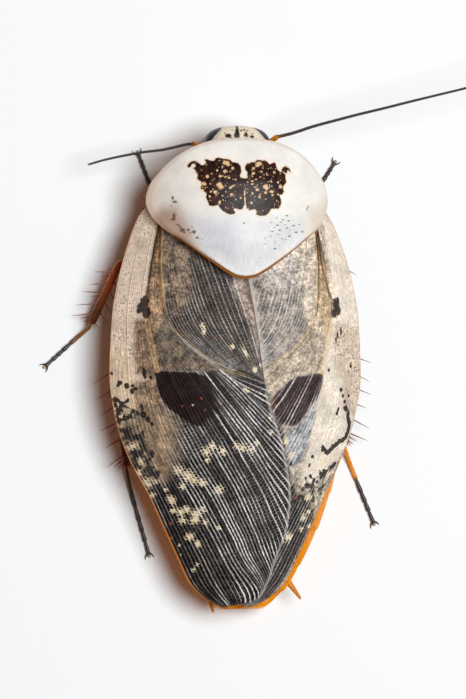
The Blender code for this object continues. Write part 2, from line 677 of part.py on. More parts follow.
def foot(name, ankle, came, toe):
    """A tarsus laid on the ground: five swelling joints with flat soles, then two claws."""
    joints = (0.0, 0.4, 0.58, 0.72, 0.84, 1.0)
    shares, swell = [], []
    for first, last in zip(joints, joints[1:]):
        for share, size in ((0.15, 0.86), (0.9, 1.08)):
            shares.append(first + (last - first) * share)
            swell.append(size)
    path, way = bent_path(ankle, came, toe, 0.35, shares)
    turns = len(path) - len(shares)
    swell = np.array([0.95] * turns + swell)
    down = np.array([0.0] * turns + shares)
    path[:, 2] += (SOLE_Z - path[:, 2]) * smooth_step(down / 0.38)
    tarsus = swept(name, path, TARSUS_RADIUS * swell, TARSUS_RADIUS * 1.04 * swell, 8, floor=0.0)
    beside = unit(np.cross(way, (0, 0, 1)))
    claws = [
        spine(path[-1] - way * 0.13 + beside * swing * 0.12, way + beside * swing - (0, 0, 0.12), CLAW_LENGTH, 0.15)
        for swing in (-0.95, 0.95)
    ]
    finish_node(join(tarsus, claws), "dark_brown")


def antenna(word):
    """A stout scape and a long flagellum that thins to its tip."""
    start, end = (np.array(p, float) for p in SCAPES[word])
    path = start + np.array([0.0, 0.12, 0.8, 1.0])[:, None] * (end - start)
    swell = np.array([0.7, 0.95, 1.0, 0.8]) * SCAPE_RADIUS
    finish_node(swept("scape_" + word, path, swell, swell, 8), "amber")
    path = curve_points(FLAGELLA[word], 14 if word == "left" else 24)
    share = np.linspace(0.0, 1.0, len(path))
    radius = ANTENNA_RADIUS + (ANTENNA_TIP_RADIUS - ANTENNA_RADIUS) * share**2
    finish_node(swept("flagellum_" + word, path, radius, radius, 6), "dark_brown")


def palp(word, side):
    """A jointed feeler beside the mouth."""
    path = curve_points([(side * x, y, z) for x, y, z in PALP_PATH], 8)
    radius = np.array([0.24, 0.25, 0.27, 0.25, 0.26, 0.27, 0.28, 0.2])
    finish_node(swept("palp_" + word, path, radius, radius, 6, up=(0.0, 1.0, 0.0)), "amber")


def cercus_shape(name, word, grown=0.0):
    """A short ringed tail feeler that narrows to its tip, or the socket round it when it is grown."""
    path = curve_points(CERCI[word], 9)
    if grown:
        path[0] += unit(path[0] - path[1]) * grown
    share = np.linspace(0.0, 1.0, len(path))
    ringed = 0.03 * (np.arange(len(path)) % 2)
    radius = CERCUS_RADIUS * np.clip(1.2 - share, 0.0, 1.0) ** 0.8 + ringed + grown * 1.2
    return swept(name, path, radius, radius * 0.9, 8)


def cercus(word):
    finish_node(cercus_shape("cercus_" + word, word), "amber")


def centre_on_the_ground():
    """Parents every node to one empty and moves it, so that the origin is under the box's middle."""
    holder = bpy.data.objects.new("specimen", None)
    bpy.context.scene.collection.objects.link(holder)
    nodes = [o for o in bpy.context.scene.objects if o.type == "MESH"]
    corners = np.concatenate([np.array([v.co for v in o.data.vertices]) for o in nodes])
    low, high = corners.min(0), corners.max(0)
    holder.location = (-(low[0] + high[0]) / 2, -(low[1] + high[1]) / 2, -low[2])
    for obj in nodes:
        obj.parent = holder


def main():
    """Builds every node in an emptied scene."""
    for obj in list(bpy.data.objects):
        bpy.data.objects.remove(obj)
    wing_cover("tegmen_left", LEFT)
    wing_cover("tegmen_right", RIGHT)
    pronotum()
    prothorax()
    pterothorax()
    abdomen()
    head_and_eyes()
    for name, joints in LEGS.items():
        leg(name, joints)
    for word, side in (("left", LEFT), ("right", RIGHT)):
        antenna(word)
        palp(word, side)
        cercus(word)
    centre_on_the_ground()


if __name__ == "__main__":
    main()
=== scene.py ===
"""Porcelain roach, life size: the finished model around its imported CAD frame, with floor, light and camera.

Shapes are laid out in millimetres about the animal's own midline, feet at z = 0 and +Y to the head, and are
moved to the frame's place in metres when a piece is made. Each piece is a grid of points worked out at once.
"""

import math

import bpy
import numpy as np
from mathutils import Matrix, Vector


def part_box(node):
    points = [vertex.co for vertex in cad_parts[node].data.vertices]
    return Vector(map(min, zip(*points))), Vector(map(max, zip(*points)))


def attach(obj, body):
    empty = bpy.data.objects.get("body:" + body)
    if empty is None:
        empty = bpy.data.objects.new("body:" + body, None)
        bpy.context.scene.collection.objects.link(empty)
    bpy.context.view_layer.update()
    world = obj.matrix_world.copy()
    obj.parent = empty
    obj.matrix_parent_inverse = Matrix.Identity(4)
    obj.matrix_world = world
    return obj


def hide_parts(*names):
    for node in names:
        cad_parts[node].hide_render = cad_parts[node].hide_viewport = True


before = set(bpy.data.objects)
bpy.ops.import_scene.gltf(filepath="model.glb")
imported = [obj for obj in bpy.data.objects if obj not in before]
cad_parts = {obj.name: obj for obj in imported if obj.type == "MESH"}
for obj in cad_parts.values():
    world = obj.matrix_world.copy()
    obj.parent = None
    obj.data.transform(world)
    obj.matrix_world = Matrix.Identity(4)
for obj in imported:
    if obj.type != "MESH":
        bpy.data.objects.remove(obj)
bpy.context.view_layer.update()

bl_info = {
    "name": "Porcelain Roach",
    "version": (1, 0, 0),
    "blender": (4, 5, 0),
    "location": "3D View > Sidebar > Roach",
    "description": "Builds a life-size porcelain roach, piece by piece, with its floor, light and camera",
    "category": "Add Mesh",
}

MM = 0.001
LEFT, RIGHT = -1.0, 1.0
WORDS = {LEFT: "left", RIGHT: "right"}
SHARP_ANGLE = math.radians(55)

# The shield's front edge stands 15.15 mm ahead of the layout's zero, on the midline
SHIELD_LOW, SHIELD_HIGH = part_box("pronotum")
SHIELD_FRONT = 15.15
SHIFT = np.array([(SHIELD_LOW.x + SHIELD_HIGH.x) / 2 / MM, SHIELD_HIGH.y / MM - SHIELD_FRONT, 0.0])


# ---- maths


def hermite(places, values, at):
    """Values along the last axis, read off at any places between their own: cubic pieces whose slope at each
    knot is the harmonic mean of the slopes on its two sides, or nought where they differ in sign."""
    steps = np.diff(places)
    rises = np.diff(values, axis=-1) / steps
    before, after = rises[..., :-1], rises[..., 1:]
    same_way = before * after > 0
    middle = np.where(same_way, 2 * before * after / np.where(same_way, before + after, 1.0), 0.0)
    slopes = np.concatenate([rises[..., :1], middle, rises[..., -1:]], -1)
    at = np.clip(at, places[0], places[-1])
    k = np.clip(np.searchsorted(places, at) - 1, 0, len(steps) - 1)
    t = (at - places[k]) / steps[k]
    return (
        values[..., k] * (1 + 2 * t) * (1 - t) ** 2
        + slopes[..., k] * steps[k] * t * (1 - t) ** 2
        + values[..., k + 1] * t * t * (3 - 2 * t)
        - slopes[..., k + 1] * steps[k] * t * t * (1 - t)
    )


def table(*rows):
    """Rows of measures that are given in hundredths of a millimetre."""
    return np.array(rows) / 100


def through(*knots):
    """A smooth function through (place, value) knots."""
    places, values = np.array(sorted(knots), float).T
    return lambda place: hermite(places, values, place)


def smooth_step(t):
    """3t squared minus 2t cubed, with t held between 0 and 1."""
    t = np.clip(t, 0.0, 1.0)
    return t * t * (3 - 2 * t)


def unit(vector):
    vector = np.array(vector, float)
    return vector / np.linalg.norm(vector, axis=-1, keepdims=True)


def lengths_along(path):
    """Distance along a path, or along each column of a grid, from its start to each of its points."""
    steps = np.linalg.norm(np.diff(path, axis=0), axis=-1)
    return np.concatenate([np.zeros_like(steps[:1]), np.cumsum(steps, axis=0)])


def bump(distance, width):
    """A bell over a distance: 1 at nought, falling as e to the minus square of distance over width."""
    return np.exp(-((distance / width) ** 2))


def edge_distances(x, y, starts, ends):
    """Distance from each point to each straight edge: to the nearest place on it, found by projecting the
    point on the edge and holding the result between its two ends."""
    edge = ends - starts
    from_start = np.stack([x, y], -1)[..., None, :] - starts
    along = np.clip((from_start * edge).sum(-1) / (edge**2).sum(-1), 0.0, 1.0)
    return np.linalg.norm(from_start - along[..., None] * edge, axis=-1)


def line_distance(x, y, line):
    """Distance to an open line of straight pieces: the least of the distances to its edges."""
    line = np.array(line, float)
    return edge_distances(x, y, line[:-1], line[1:]).min(-1)


def inside_by(x, y, outline):
    """Distance to a closed outline, above 0 inside: the least distance to an edge, with its sign from
    whether a ray to +x crosses an odd number of edges."""
    starts = np.array(outline, float)
    ends = np.roll(starts, -1, axis=0)
    distance = edge_distances(x, y, starts, ends).min(-1)
    across, level = x[..., None], y[..., None]
    rise = ends[:, 1] - starts[:, 1]
    rise = np.where(rise == 0, 1e-9, rise)
    straddles = (starts[:, 1] > level) != (ends[:, 1] > level)
    meets = starts[:, 0] + (level - starts[:, 1]) / rise * (ends[:, 0] - starts[:, 0])
    odd = (straddles & (across < meets)).sum(-1) % 2 == 1
    return np.where(odd, distance, -distance)


def spot_field(x, y, spots, heading=np.array((1.0, 0.0))):
    """Closeness to the nearest of a list of (x, y, half length, half width) spots, laid along the heading:
    1 less half of the distance in half sizes, so that it is 1 in a spot's middle and 0.5 on its edge."""
    field = np.zeros_like(x)
    for place_x, place_y, length, width in spots:
        dx, dy = x - place_x, y - place_y
        along = (dx * heading[..., 0] + dy * heading[..., 1]) / length
        across = (dy * heading[..., 0] - dx * heading[..., 1]) / width
        field = np.maximum(field, 1 - np.hypot(along, across) / 2)
    return field




def lay_zones(x, y, ground, zones):
    """The ground's values with each zone's laid over them by its smooth share, which is a step of the
    distance inside its outline over its softness."""
    for outline, soft, colour, *rest in zones:
        share = smooth_step(inside_by(x, y, outline) / soft + 0.5)[..., None]
        ground = ground + share * (np.array([*colour, *rest]) - ground)
    return ground


# ---- meshes


class Shapes:
    """Collects closed surfaces into one mesh: points, faces, and four tone values for each point."""

    def __init__(self):
        self.points, self.tones, self.faces = [], [], []
        self.count = 0

    def add(self, points, faces, tones=None):
        """Adds one closed surface, turned round if its faces point inwards, which is so where the sum of the
        volumes between the origin and each face is below nought."""
        points = points.reshape(-1, 3)
        fans = np.concatenate(
            [np.stack([f[:, 0], f[:, k], f[:, k + 1]], -1) for f in faces for k in range(1, f.shape[1] - 1)]
        )
        middle = points.mean(0)
        a, b, c = (points[fans[:, k]] - middle for k in range(3))
        if np.einsum("ij,ij->", a, np.cross(b, c)) < 0:
            faces = [f[:, ::-1] for f in faces]
        self.points.append(points)
        self.faces += [f + self.count for f in faces]
        self.tones.append(np.zeros((len(points), 4)) if tones is None else tones.reshape(-1, 4))
        self.count += len(points)

    def tube(self, rings, tones=None):
        """Adds rings of points one after another along a limb, with quads between neighbouring rings and a
        fan of triangles to a pole in the middle of each end ring. Tones are given once, for each ring or
        for each point."""
        stations, sides = rings.shape[:2]
        index = np.arange(stations * sides).reshape(stations, sides)
        onward = np.roll(index, -1, axis=1)
        sheath = np.stack([index[:-1], onward[:-1], onward[1:], index[1:]], -1).reshape(-1, 4)
        poles = [
            np.stack([onward[end], index[end], np.full(sides, stations * sides + k)], -1)[:, ::turn]
            for k, (end, turn) in enumerate(((0, 1), (-1, -1)))
        ]
        points = np.concatenate([rings.reshape(-1, 3), rings[[0, -1]].mean(1)])
        if tones is not None:
            tones = np.broadcast_to(tones[:, None] if tones.ndim == 2 else tones, (stations, sides, 4))
            tones = np.concatenate([tones.reshape(-1, 4), tones[[0, -1]].mean(1)])
        self.add(points, [sheath, *poles], tones)

    def plate(self, top, under, step=1, tones=None):
        """Adds a plate between an upper grid and a lower one that has every step-th row and column of it,
        with a rim of one face for each step round the edge."""
        rows, columns = top.shape[:2]
        upper = np.arange(rows * columns).reshape(rows, columns)
        lower = np.arange(under.shape[0] * under.shape[1]).reshape(under.shape[:2]) + rows * columns
        sheets = [
            np.stack([g[:-1, :-1], g[1:, :-1], g[1:, 1:], g[:-1, 1:]], -1).reshape(-1, 4)[:, ::turn]
            for g, turn in ((upper, 1), (lower, -1))
        ]
        ring, low_ring = (
            np.concatenate([g[0, :-1], g[:-1, -1], g[-1, :0:-1], g[:0:-1, 0]]) for g in (upper, lower)
        )
        fine = np.stack([np.roll(ring, -k)[::step] for k in range(step + 1)], -1)
        rim = np.concatenate([fine, np.roll(low_ring, -1)[:, None], low_ring[:, None]], axis=1)
        points = np.concatenate([top.reshape(-1, 3), under.reshape(-1, 3)])
        if tones is not None:
            tones = np.concatenate([tones.reshape(-1, 4), tones[::step, ::step].reshape(-1, 4)])
        self.add(points, [*sheets, rim], tones)

    def all_points(self):
        return np.concatenate(self.points)

    def mesh(self, name):
        """One mesh of all the surfaces, moved to the frame's place, in metres."""
        points = (self.all_points() + SHIFT) * MM
        corners = np.concatenate([f.ravel() for f in self.faces])
        sizes = np.concatenate([np.full(len(f), f.shape[1]) for f in self.faces])
        mesh = bpy.data.meshes.new(name)
        mesh.vertices.add(len(points))
        mesh.vertices.foreach_set("co", points.ravel())
        mesh.loops.add(len(corners))
        mesh.loops.foreach_set("vertex_index", corners)
        mesh.polygons.add(len(sizes))
        mesh.polygons.foreach_set("loop_start", np.cumsum(sizes) - sizes)
        mesh.update(calc_edges=True)
        mesh.shade_smooth()
        mesh.set_sharp_from_angle(angle=SHARP_ANGLE)
        store_tones(mesh, "tones", np.concatenate(self.tones))
        return mesh


def store_tones(mesh, name, values):
    """Keeps four values for each point under a name that the materials read."""
    layer = mesh.attributes.new(name, "FLOAT_COLOR", "POINT")
    layer.data.foreach_set("color", np.ascontiguousarray(values, np.float32).ravel())


def store_grid(mesh, name, values):
    """Keeps two values for each point as a UV layer that the materials read."""
    corners = np.zeros(len(mesh.loops), int)
    mesh.loops.foreach_get("vertex_index", corners)
    mesh.uv_layers.new(name=name).data.foreach_set("uv", values[corners].astype(np.float32).ravel())


def four_tones(dark, pale=0.0, speckle=0.0, warm=0.0):
    """The tone values that shell_material reads, side by side."""
    return np.stack(np.broadcast_arrays(dark, pale, speckle, warm), -1)


def make_piece(name, shapes, material, nodes):
    """A finished piece at the origin that rides on the frame and stands for the CAD nodes named. Its mesh is
    given back."""
    piece = bpy.data.objects.new(name, shapes.mesh(name))
    bpy.context.scene.collection.objects.link(piece)
    piece.data.materials.append(material)
    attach(piece, "root")
    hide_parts(*nodes)
    return piece.data


def rings_along(path, widths, depths, sides, up=(0.0, 0.0, 1.0), floor=None):
    """A profile carried along a path: each point is the path's, plus the cosine of its turn times the width
    across, plus the sine times the depth above, where across is square to the path and to up."""
    path = np.array(path, float)
    ahead = unit(np.gradient(path, axis=0))
    across = unit(np.cross(ahead, np.array(up, float)))
    above = np.cross(across, ahead)
    turn = 2 * np.pi * (np.arange(sides) + 0.5) / sides
    widths, depths = (np.broadcast_to(np.array(v, float), len(path)) for v in (widths, depths))
    rings = (
        path[:, None, :]
        + np.cos(turn)[None, :, None] * across[:, None, :] * widths[:, None, None]
        + np.sin(turn)[None, :, None] * above[:, None, :] * depths[:, None, None]
    )
    if floor is not None:
        rings[..., 2] = np.maximum(rings[..., 2], floor)
    return rings


def curve_points(knots, count):
    """Points on a smooth curve through the knots, at even steps of the knots' own chord length."""
    knots = np.array(knots, float)
    chord = lengths_along(knots)
    return hermite(chord, knots.T, np.linspace(0.0, chord[-1], count)).T


# ---- shaders


def tone(red, green, blue):
    """A linear colour from screen values of 0 to 255."""
    screen = np.array([red, green, blue]) / 255
    return tuple(np.where(screen <= 0.04045, screen / 12.92, ((screen + 0.055) / 1.055) ** 2.4))


def rgba(colour):
    return (*tuple(colour)[:3], 1.0)


class Signal:
    """An output of a shader node. Sums, differences, products and quotients of it add the maths nodes."""

    def __init__(self, board, socket):
        self.board, self.socket = board, socket

    def __add__(self, other):
        return self.board.math("ADD", self, other)

    def __sub__(self, other):
        return self.board.math("SUBTRACT", self, other)

    def __rsub__(self, other):
        return self.board.math("SUBTRACT", other, self)

    def __mul__(self, other):
        return self.board.math("MULTIPLY", self, other)

    def __truediv__(self, other):
        return self.board.math("DIVIDE", self, other)

    def __abs__(self):
        return self.board.math("ABSOLUTE", self)


class Board:
    """Adds shader nodes to one tree. A signal is joined up to an input, and any other value is set."""

    def __init__(self, tree):
        self.tree = tree

    def feed(self, inputs, values):
        for word, value in values.items():
            if isinstance(value, Signal):
                self.tree.links.new(value.socket, inputs[word])
            else:
                inputs[word].default_value = value

    def make(self, kind, values, **settings):
        made = self.tree.nodes.new(kind if kind.startswith("Node") else "ShaderNode" + kind)
        for word, setting in settings.items():
            setattr(made, word, setting)
        self.feed(made.inputs, values)
        return made

    def node(self, kind, values=(), **settings):
        """A new node's outputs as signals, by number and by name."""
        made = self.make(kind, dict(values), **settings)
        return {word: Signal(self, out) for word, out in [*enumerate(made.outputs), *made.outputs.items()]}

    def math(self, operation, *values, clamp=False):
        return self.node("Math", enumerate(values), operation=operation, use_clamp=clamp)[0]

    def mix(self, share, first, second, blend="MIX"):
        first, second = (given if isinstance(given, Signal) else rgba(given) for given in (first, second))
        return self.node("Mix", {0: share, 6: first, 7: second}, data_type="RGBA", blend_type=blend)[2]

    def lay(self, colour, *layers):
        """The colour with others laid over it one after another, each by its share."""
        for share, over in layers:
            colour = self.mix(share, colour, over)
        return colour

    def span(self, value, low, high, to_low=0.0, to_high=1.0):
        """The value from low to high turned into a smooth step from to_low to to_high."""
        given = enumerate((value, low, high, to_low, to_high))
        return self.node("MapRange", given, interpolation_type="SMOOTHSTEP")[0]

    def noise(self, vector, scale, detail=3.0, rough=0.55):
        values = {"Vector": vector, "Scale": scale, "Detail": detail, "Roughness": rough}
        return self.node("TexNoise", values)["Fac"]

    def bumps(self, height, distance, strength):
        return self.node("Bump", {"Height": height, "Distance": distance, "Strength": strength})["Normal"]

    def grid(self, name):
        """The two stored values of a UV layer."""
        parts = self.node("SeparateXYZ", {"Vector": self.node("UVMap", uv_map=name)["UV"]})
        return parts["X"], parts["Y"]

    def tones(self, name="tones"):
        """The four stored values of a point: three as separate sockets, and the fourth."""
        stored = self.node("Attribute", attribute_name=name)
        parts = self.node("SeparateColor", {"Color": stored["Color"]})
        return parts[0], parts[1], parts[2], stored["Alpha"]

    def apply(self, effect_name, **values):
        """The outputs of a shared effect, whose inputs are given by their names."""
        values = {word.replace("_", " "): value for word, value in values.items()}
        return self.node("Group", values, node_tree=bpy.data.node_groups[effect_name])

    def ragged(self, field, place, scale, raggedness, softness):
        values = {"Field": field, "Vector": place, "Scale": scale, "Raggedness": raggedness, "Softness": softness}
        return self.apply("ragged_mask", **values)["Mask"]

    def specks(self, place, scale, amount):
        return self.apply("specks", Vector=place, Scale=scale, Amount=amount)["Mask"]

    def grain(self, place, scale, pits):
        return self.apply("shell_grain", Vector=place, Scale=scale, Pits=pits)


def effect(name, inputs, outputs):
    """An empty shader node group, its board, and its two ends. An input without a value is a vector."""
    tree = bpy.data.node_groups.new(name, "ShaderNodeTree")
    for word, default in inputs.items():
        kind = "NodeSocketVector" if default is None else "NodeSocketFloat"
        socket = tree.interface.new_socket(name=word, in_out="INPUT", socket_type=kind)
        if default is not None:
            socket.default_value = default
    for word in outputs:
        tree.interface.new_socket(name=word, in_out="OUTPUT", socket_type="NodeSocketFloat")
    board = Board(tree)
    return board, board.node("NodeGroupInput"), board.make("NodeGroupOutput", {}).inputs


def make_effects():
    """The effects that several materials share."""
    # A mask from a painted field: the field plus centred noise, cut off sharply at one half
    inputs = {"Field": 0.0, "Vector": None, "Scale": 4000.0, "Raggedness": 0.3, "Softness": 0.08}
    board, given, result = effect("ragged_mask", inputs, ["Mask"])
    noise = board.noise(given["Vector"], given["Scale"], 4.0, 0.65)
    field = (noise - 0.5) * given["Raggedness"] + given["Field"]
    soft = given["Softness"]
    board.feed(result, {"Mask": board.span(field, 0.5 - soft, soft + 0.5)})

    # Specks of uneven size: cells whose random share times the amount is more than the distance to the middle
    board, given, result = effect("specks", {"Vector": None, "Scale": 6000.0, "Amount": 0.5}, ["Mask"])
    cells = board.node("TexVoronoi", {"Vector": given["Vector"], "Scale": given["Scale"], "Randomness": 1.0})
    chance = board.node("SeparateColor", {"Color": cells["Color"]})[0]
    gap = board.math("POWER", chance, 1.6) * given["Amount"] - cells["Distance"]
    board.feed(result, {"Mask": board.span(gap, -0.06, 0.08)})

    # Fine unevenness of a shell: broad noise with small pits, for bumps and for a slight play of tone
    board, given, result = effect("shell_grain", {"Vector": None, "Scale": 5000.0, "Pits": 0.3}, ["Height", "Tone"])
    vector, scale = given["Vector"], given["Scale"]
    pits = board.node("TexVoronoi", {"Vector": vector, "Scale": scale * 2.2})["Distance"]
    height = board.span(pits, 0.0, 0.45) * given["Pits"] + board.noise(vector, scale, 5.0, 0.6)
    board.feed(result, {"Height": height, "Tone": board.noise(vector, scale * 0.22, 4.0, 0.6)})

    # The net of a wing: long veins at whole line numbers, and cross veins that part each strip into cells.
    # The random value of a strip is taken a little off its number, so that it isn't that of its vein
    board, given, result = effect(
        "wing_net",
        {"Across": 0.0, "Along": 0.0, "Spacing": 0.3, "Pitch": 0.3, "Vein Width": 0.06, "Cross Width": 0.04},
        ["Vein", "Vein Chance", "Cross", "Cell Chance"],
    )
    plan = board.node("CombineXYZ", {"X": given["Across"] * 0.8, "Y": given["Along"] * 1.3})[0]
    sway = board.noise(plan, 1.0, 3.0) - 0.5
    across = sway * 0.36 + given["Across"]
    line, strip = board.math("ROUND", across), board.math("FLOOR", across)
    vein_gap = abs(across - line) * given["Spacing"]
    vein_chance = board.node("TexWhiteNoise", {"W": line}, noise_dimensions="1D")["Value"]
    width = (vein_chance * 0.6 + 0.65) * given["Vein Width"]
    start = board.node("TexWhiteNoise", {"W": strip + 0.37}, noise_dimensions="1D")["Value"]
    along = sway * 1.6 + (start * 7.0 + given["Along"] / given["Pitch"])
    cross_gap = abs(along - board.math("ROUND", along)) * given["Pitch"]
    cross_width = given["Cross Width"]
    cell = board.node("CombineXYZ", {"X": strip, "Y": board.math("FLOOR", along)})[0]
    board.feed(result, {
        "Vein": board.span(vein_gap, width * 0.25, width * 0.75, 1.0, 0.0),
        "Vein Chance": vein_chance,
        "Cross": board.span(cross_gap, cross_width * 0.25, cross_width * 0.8, 1.0, 0.0),
        "Cell Chance": board.node("TexWhiteNoise", {"Vector": cell}, noise_dimensions="2D")["Value"],
    })

    # Streaks that run lengthwise: noise on the wing's own grid, stretched along
    board, given, result = effect("streaks", {"Across": 0.0, "Along": 0.0}, ["Tone"])
    plan = board.node("CombineXYZ", {"X": given["Across"], "Y": given["Along"] * 0.45})[0]
    board.feed(result, {"Tone": board.noise(plan, 1.6, 4.0, 0.6)})


def new_material(name):
    """A material with its board, the inputs of its Principled shader and its Object coordinates."""
    material = bpy.data.materials.new(name)
    material.use_nodes = True
    board = Board(material.node_tree)
    return material, board, material.node_tree.nodes["Principled BSDF"].inputs, board.node("TexCoord")["Object"]


def wing_material(colours, sizes):
    """Leathery wing cover: painted ground, blotches, orange and cream spots, cell net, and pale veins partly painted
    as highlight.
    """
    material, board, shader, place = new_material("wing_cover_leather")
    stored = board.node("Attribute", attribute_name="ground")
    ground, mottled = stored["Color"], stored["Alpha"]
    black, cream, orange, spacing = board.tones("marks")
    vein_light, net_light, speckle, streaky = board.tones("net")
    gold, brown_and_edge_shadow, rim, pale = board.tones("trim")
    across, along = board.grid("vein_grid")
    net = board.apply(
        "wing_net", Across=across, Along=along, Spacing=spacing, Pitch=CROSS_VEIN_PITCH,
        Vein_Width=sizes.vein_width / MM, Cross_Width=CROSS_VEIN_WIDTH,
    )
    vein, cross, cell_chance = net["Vein"], net["Cross"], net["Cell Chance"]

    # Streaks, clouds and grit play on the ground; mottled zones go from dark to cream and back
    streaks = board.apply("streaks", Across=across, Along=along)["Tone"]
    shade = board.span(streaks, 0.3, 0.72, -1.0, 1.0) * streaky * 0.5 + 1.0
    broad = board.noise(place, 750.0, 4.0, 0.6)
    grit = board.noise(place, 5200.0, 4.0, 0.75)
    calm = board.span(mottled, 0.05, 0.5, 0.3, 1.0)
    gritty = board.span(grit, 0.32, 0.68, -0.5, 0.5) * calm + 1.0
    clouds = board.span(broad, 0.3, 0.7, 0.82, 1.18) * gritty
    cell_play = (cell_chance - 0.5) * net_light * 0.8 + 1.0
    colour = board.mix(1.0, ground, shade * clouds * cell_play, "MULTIPLY")
    patchy = board.noise(place, 1700.0, 3.0, 0.5) * 1.5 + grit * 0.8 + streaks * 0.4
    dapple = board.mix(board.span(patchy, 1.05, 1.65), (0.2, 0.19, 0.2), (1.85, 1.72, 1.54))
    colour = board.mix(mottled, colour, board.mix(1.0, colour, dapple, "MULTIPLY"))

    # Specks in crowds, black and orange spots, and cream ones that keep off the veins and fill whole cells
    crowds = board.span(broad, 0.42, 0.62, 0.1, 1.0)
    framed = board.math("MAXIMUM", vein, cross) * 0.32 + (cream - 0.48) + streaks * 0.5 + (cell_chance - 0.6) * 0.18
    colour = board.lay(
        colour,
        (board.specks(place, 9500.0, 0.66) * speckle * crowds, colours.speckle),
        (board.ragged(black, place, 6200.0, 0.65, 0.09) * 0.94, colours.blotch),
        (board.ragged(framed, place, 7000.0, 0.9, 0.14) * 0.95, colours.cream_spot),
        (board.ragged(orange - 0.28, place, 7000.0, 0.8, 0.25) * 0.7, colours.orange_spot),
    )

    # Pale veins, each of its own strength, beaded and fading in clouds; their silver is partly painted highlight,
    # and the sparkle on them is painted glints
    beads = board.span(board.noise(place, 7000.0, 2.0), 0.34, 0.62, 0.45, 1.2)
    fading = board.span(board.noise(place, 620.0, 2.0), 0.36, 0.6, 0.5, 1.05)
    kept = spacing * 3.6 + (net["Vein Chance"] - 0.85)
    own = board.math("MAXIMUM", board.span(kept, 0.0, 0.65, 0.04, 1.0), board.span(mottled, 0.62, 0.72, 0.0, 0.72))
    own = board.math("ADD", own, board.math("MAXIMUM", vein_light - 1.0, 0.0), clamp=True)
    strength = vein * board.math("MINIMUM", vein_light, 1.0) * own * beads * fading
    sparkle = board.specks(place, 9800.0, 0.6) * vein_light * 0.1
    worn = board.span(board.noise(place, 2200.0, 3.0), 0.36, 0.6, 0.3, 0.85)
    colour = board.lay(
        colour,
        (cross * net_light * beads * fading, colours.vein),
        (board.math("MAXIMUM", strength, sparkle, clamp=True), colours.vein),
        # Dark lines, among them the painted shadow along the left cover's inner edge
        (brown_and_edge_shadow, colours.fold_and_edge_shadow),
        (gold * worn, colours.furrow),
        (pale, colours.pale_edge),
        # The rim's orange: partly its own amber, partly painted glow of light shining through the thin edge
        (rim, colours.rim),
    )

    grain = board.grain(place, 6000.0, 0.25)
    raised = board.math("MAXIMUM", vein * vein_light * 0.9, cross * net_light * 0.5)
    board.feed(shader, {
        "Base Color": colour,
        "Roughness": board.span(grain["Tone"], 0.2, 0.8, 0.42, 0.6),
        "Normal": board.bumps(grain["Height"] * 0.35 + raised, 0.00003, 0.6),
        "Specular IOR Level": 0.1,
    })
    return material


def shield_material(colours):
    """Waxy porcelain shield: painted ground, the dark marking with its cream specks, streaks and rim."""
    material, board, shader, place = new_material("porcelain_shield")
    ground = board.node("Attribute", attribute_name="ground")["Color"]
    marking, speck, dark, rim = board.tones("marks")
    streaky, orange_edge = board.tones("trim")[:2]
    turn, reach = board.grid("round_grid")
    streaks = board.apply("streaks", Across=turn * 90.0, Along=reach * 1.6)["Tone"]
    shade = board.span(streaks, 0.3, 0.72, -1.0, 1.0) * streaky * 0.11 + 1.0
    clouds = board.span(board.noise(place, 700.0, 5.0, 0.66), 0.3, 0.7, 0.92, 1.05)
    mask = board.ragged(marking, place, 5200.0, 0.16, 0.035)
    mottle = board.span(board.noise(place, 2600.0, 4.0), 0.4, 0.75)
    dots = board.ragged(speck, place, 7500.0, 0.95, 0.2) * 0.9
    fine = board.specks(place, 6200.0, 0.4) * mask * 0.6
    colour = board.lay(
        board.mix(1.0, ground, shade * clouds, "MULTIPLY"),
        (board.ragged(dark, place, 6500.0, 0.6, 0.2) * 0.8, colours.shield_mark),
        (board.span(marking, 0.35, 0.45) * 0.55, colours.shield_halo),
        (mask, board.mix(mottle, colours.marking, colours.marking_light)),
        (board.math("MAXIMUM", dots, fine), colours.shield_speck),
        (orange_edge, colours.shield_orange),
        (rim, colours.shield_rim),
    )
    grain = board.grain(place, 2600.0, 0.15)
    board.feed(shader, {
        "Base Color": colour,
        "Roughness": board.span(grain["Tone"], 0.2, 0.8, 0.3, 0.46),
        "Normal": board.bumps(grain["Height"], 0.00002, 0.45),
        "Specular IOR Level": 0.15,
        "Subsurface Weight": 0.12,
        "Subsurface Radius": (1.0, 0.7, 0.5),
        "Subsurface Scale": 0.0004,
    })
    return material


def shell_material(name, light, dark, roughness, glow, pale=None, warm=None, shine=0.5):
    """Glossy insect shell: a light and a dark tone parted by the stored tones and by noise.

    The first stored value darkens, the second lays on the pale tone, the third adds fine specks and the
    fourth turns the light tone to the warm one."""
    material, board, shader, place = new_material(name)
    darkness, paleness, speckle, warmth = board.tones()
    grain = board.grain(place, 4500.0, 0.3)
    play = board.math("ADD", (grain["Tone"] - 0.5) * 0.7, darkness, clamp=True)
    light_tone = light if warm is None else board.mix(warmth, light, warm)
    colour = board.mix(play, light_tone, dark)
    if pale is not None:
        colour = board.mix(board.ragged(paleness, place, 4200.0, 0.25, 0.12), colour, pale)
    board.feed(shader, {
        "Base Color": board.mix(board.specks(place, 9000.0, 0.5) * speckle, colour, dark),
        "Roughness": board.span(grain["Tone"], 0.2, 0.8, roughness - 0.07, roughness + 0.12),
        "Normal": board.bumps(grain["Height"], 0.00002, 0.4),
        "Specular IOR Level": shine,
        "Subsurface Weight": glow,
        "Subsurface Radius": (1.0, 0.45, 0.15),
        "Subsurface Scale": 0.0005,
    })
    return material


def eye_material(colour):
    """Compound eye: blue-black facets, packed as cells, with a dark pseudo-pupil cloud."""
    material, board, shader, place = new_material("faceted_eye")
    facets = board.node("TexVoronoi", {"Vector": place, "Scale": 26000.0, "Randomness": 0.35})["Distance"]
    clouds = board.span(board.noise(place, 1500.0, 2.0), 0.35, 0.7)
    board.feed(shader, {
        "Base Color": board.mix(clouds, colour, tone(40, 42, 52)),
        "Roughness": board.span(facets, 0.0, 0.5, 0.16, 0.34),
        "Normal": board.bumps(1.0 - facets, 0.000008, 0.7),
    })
    return material


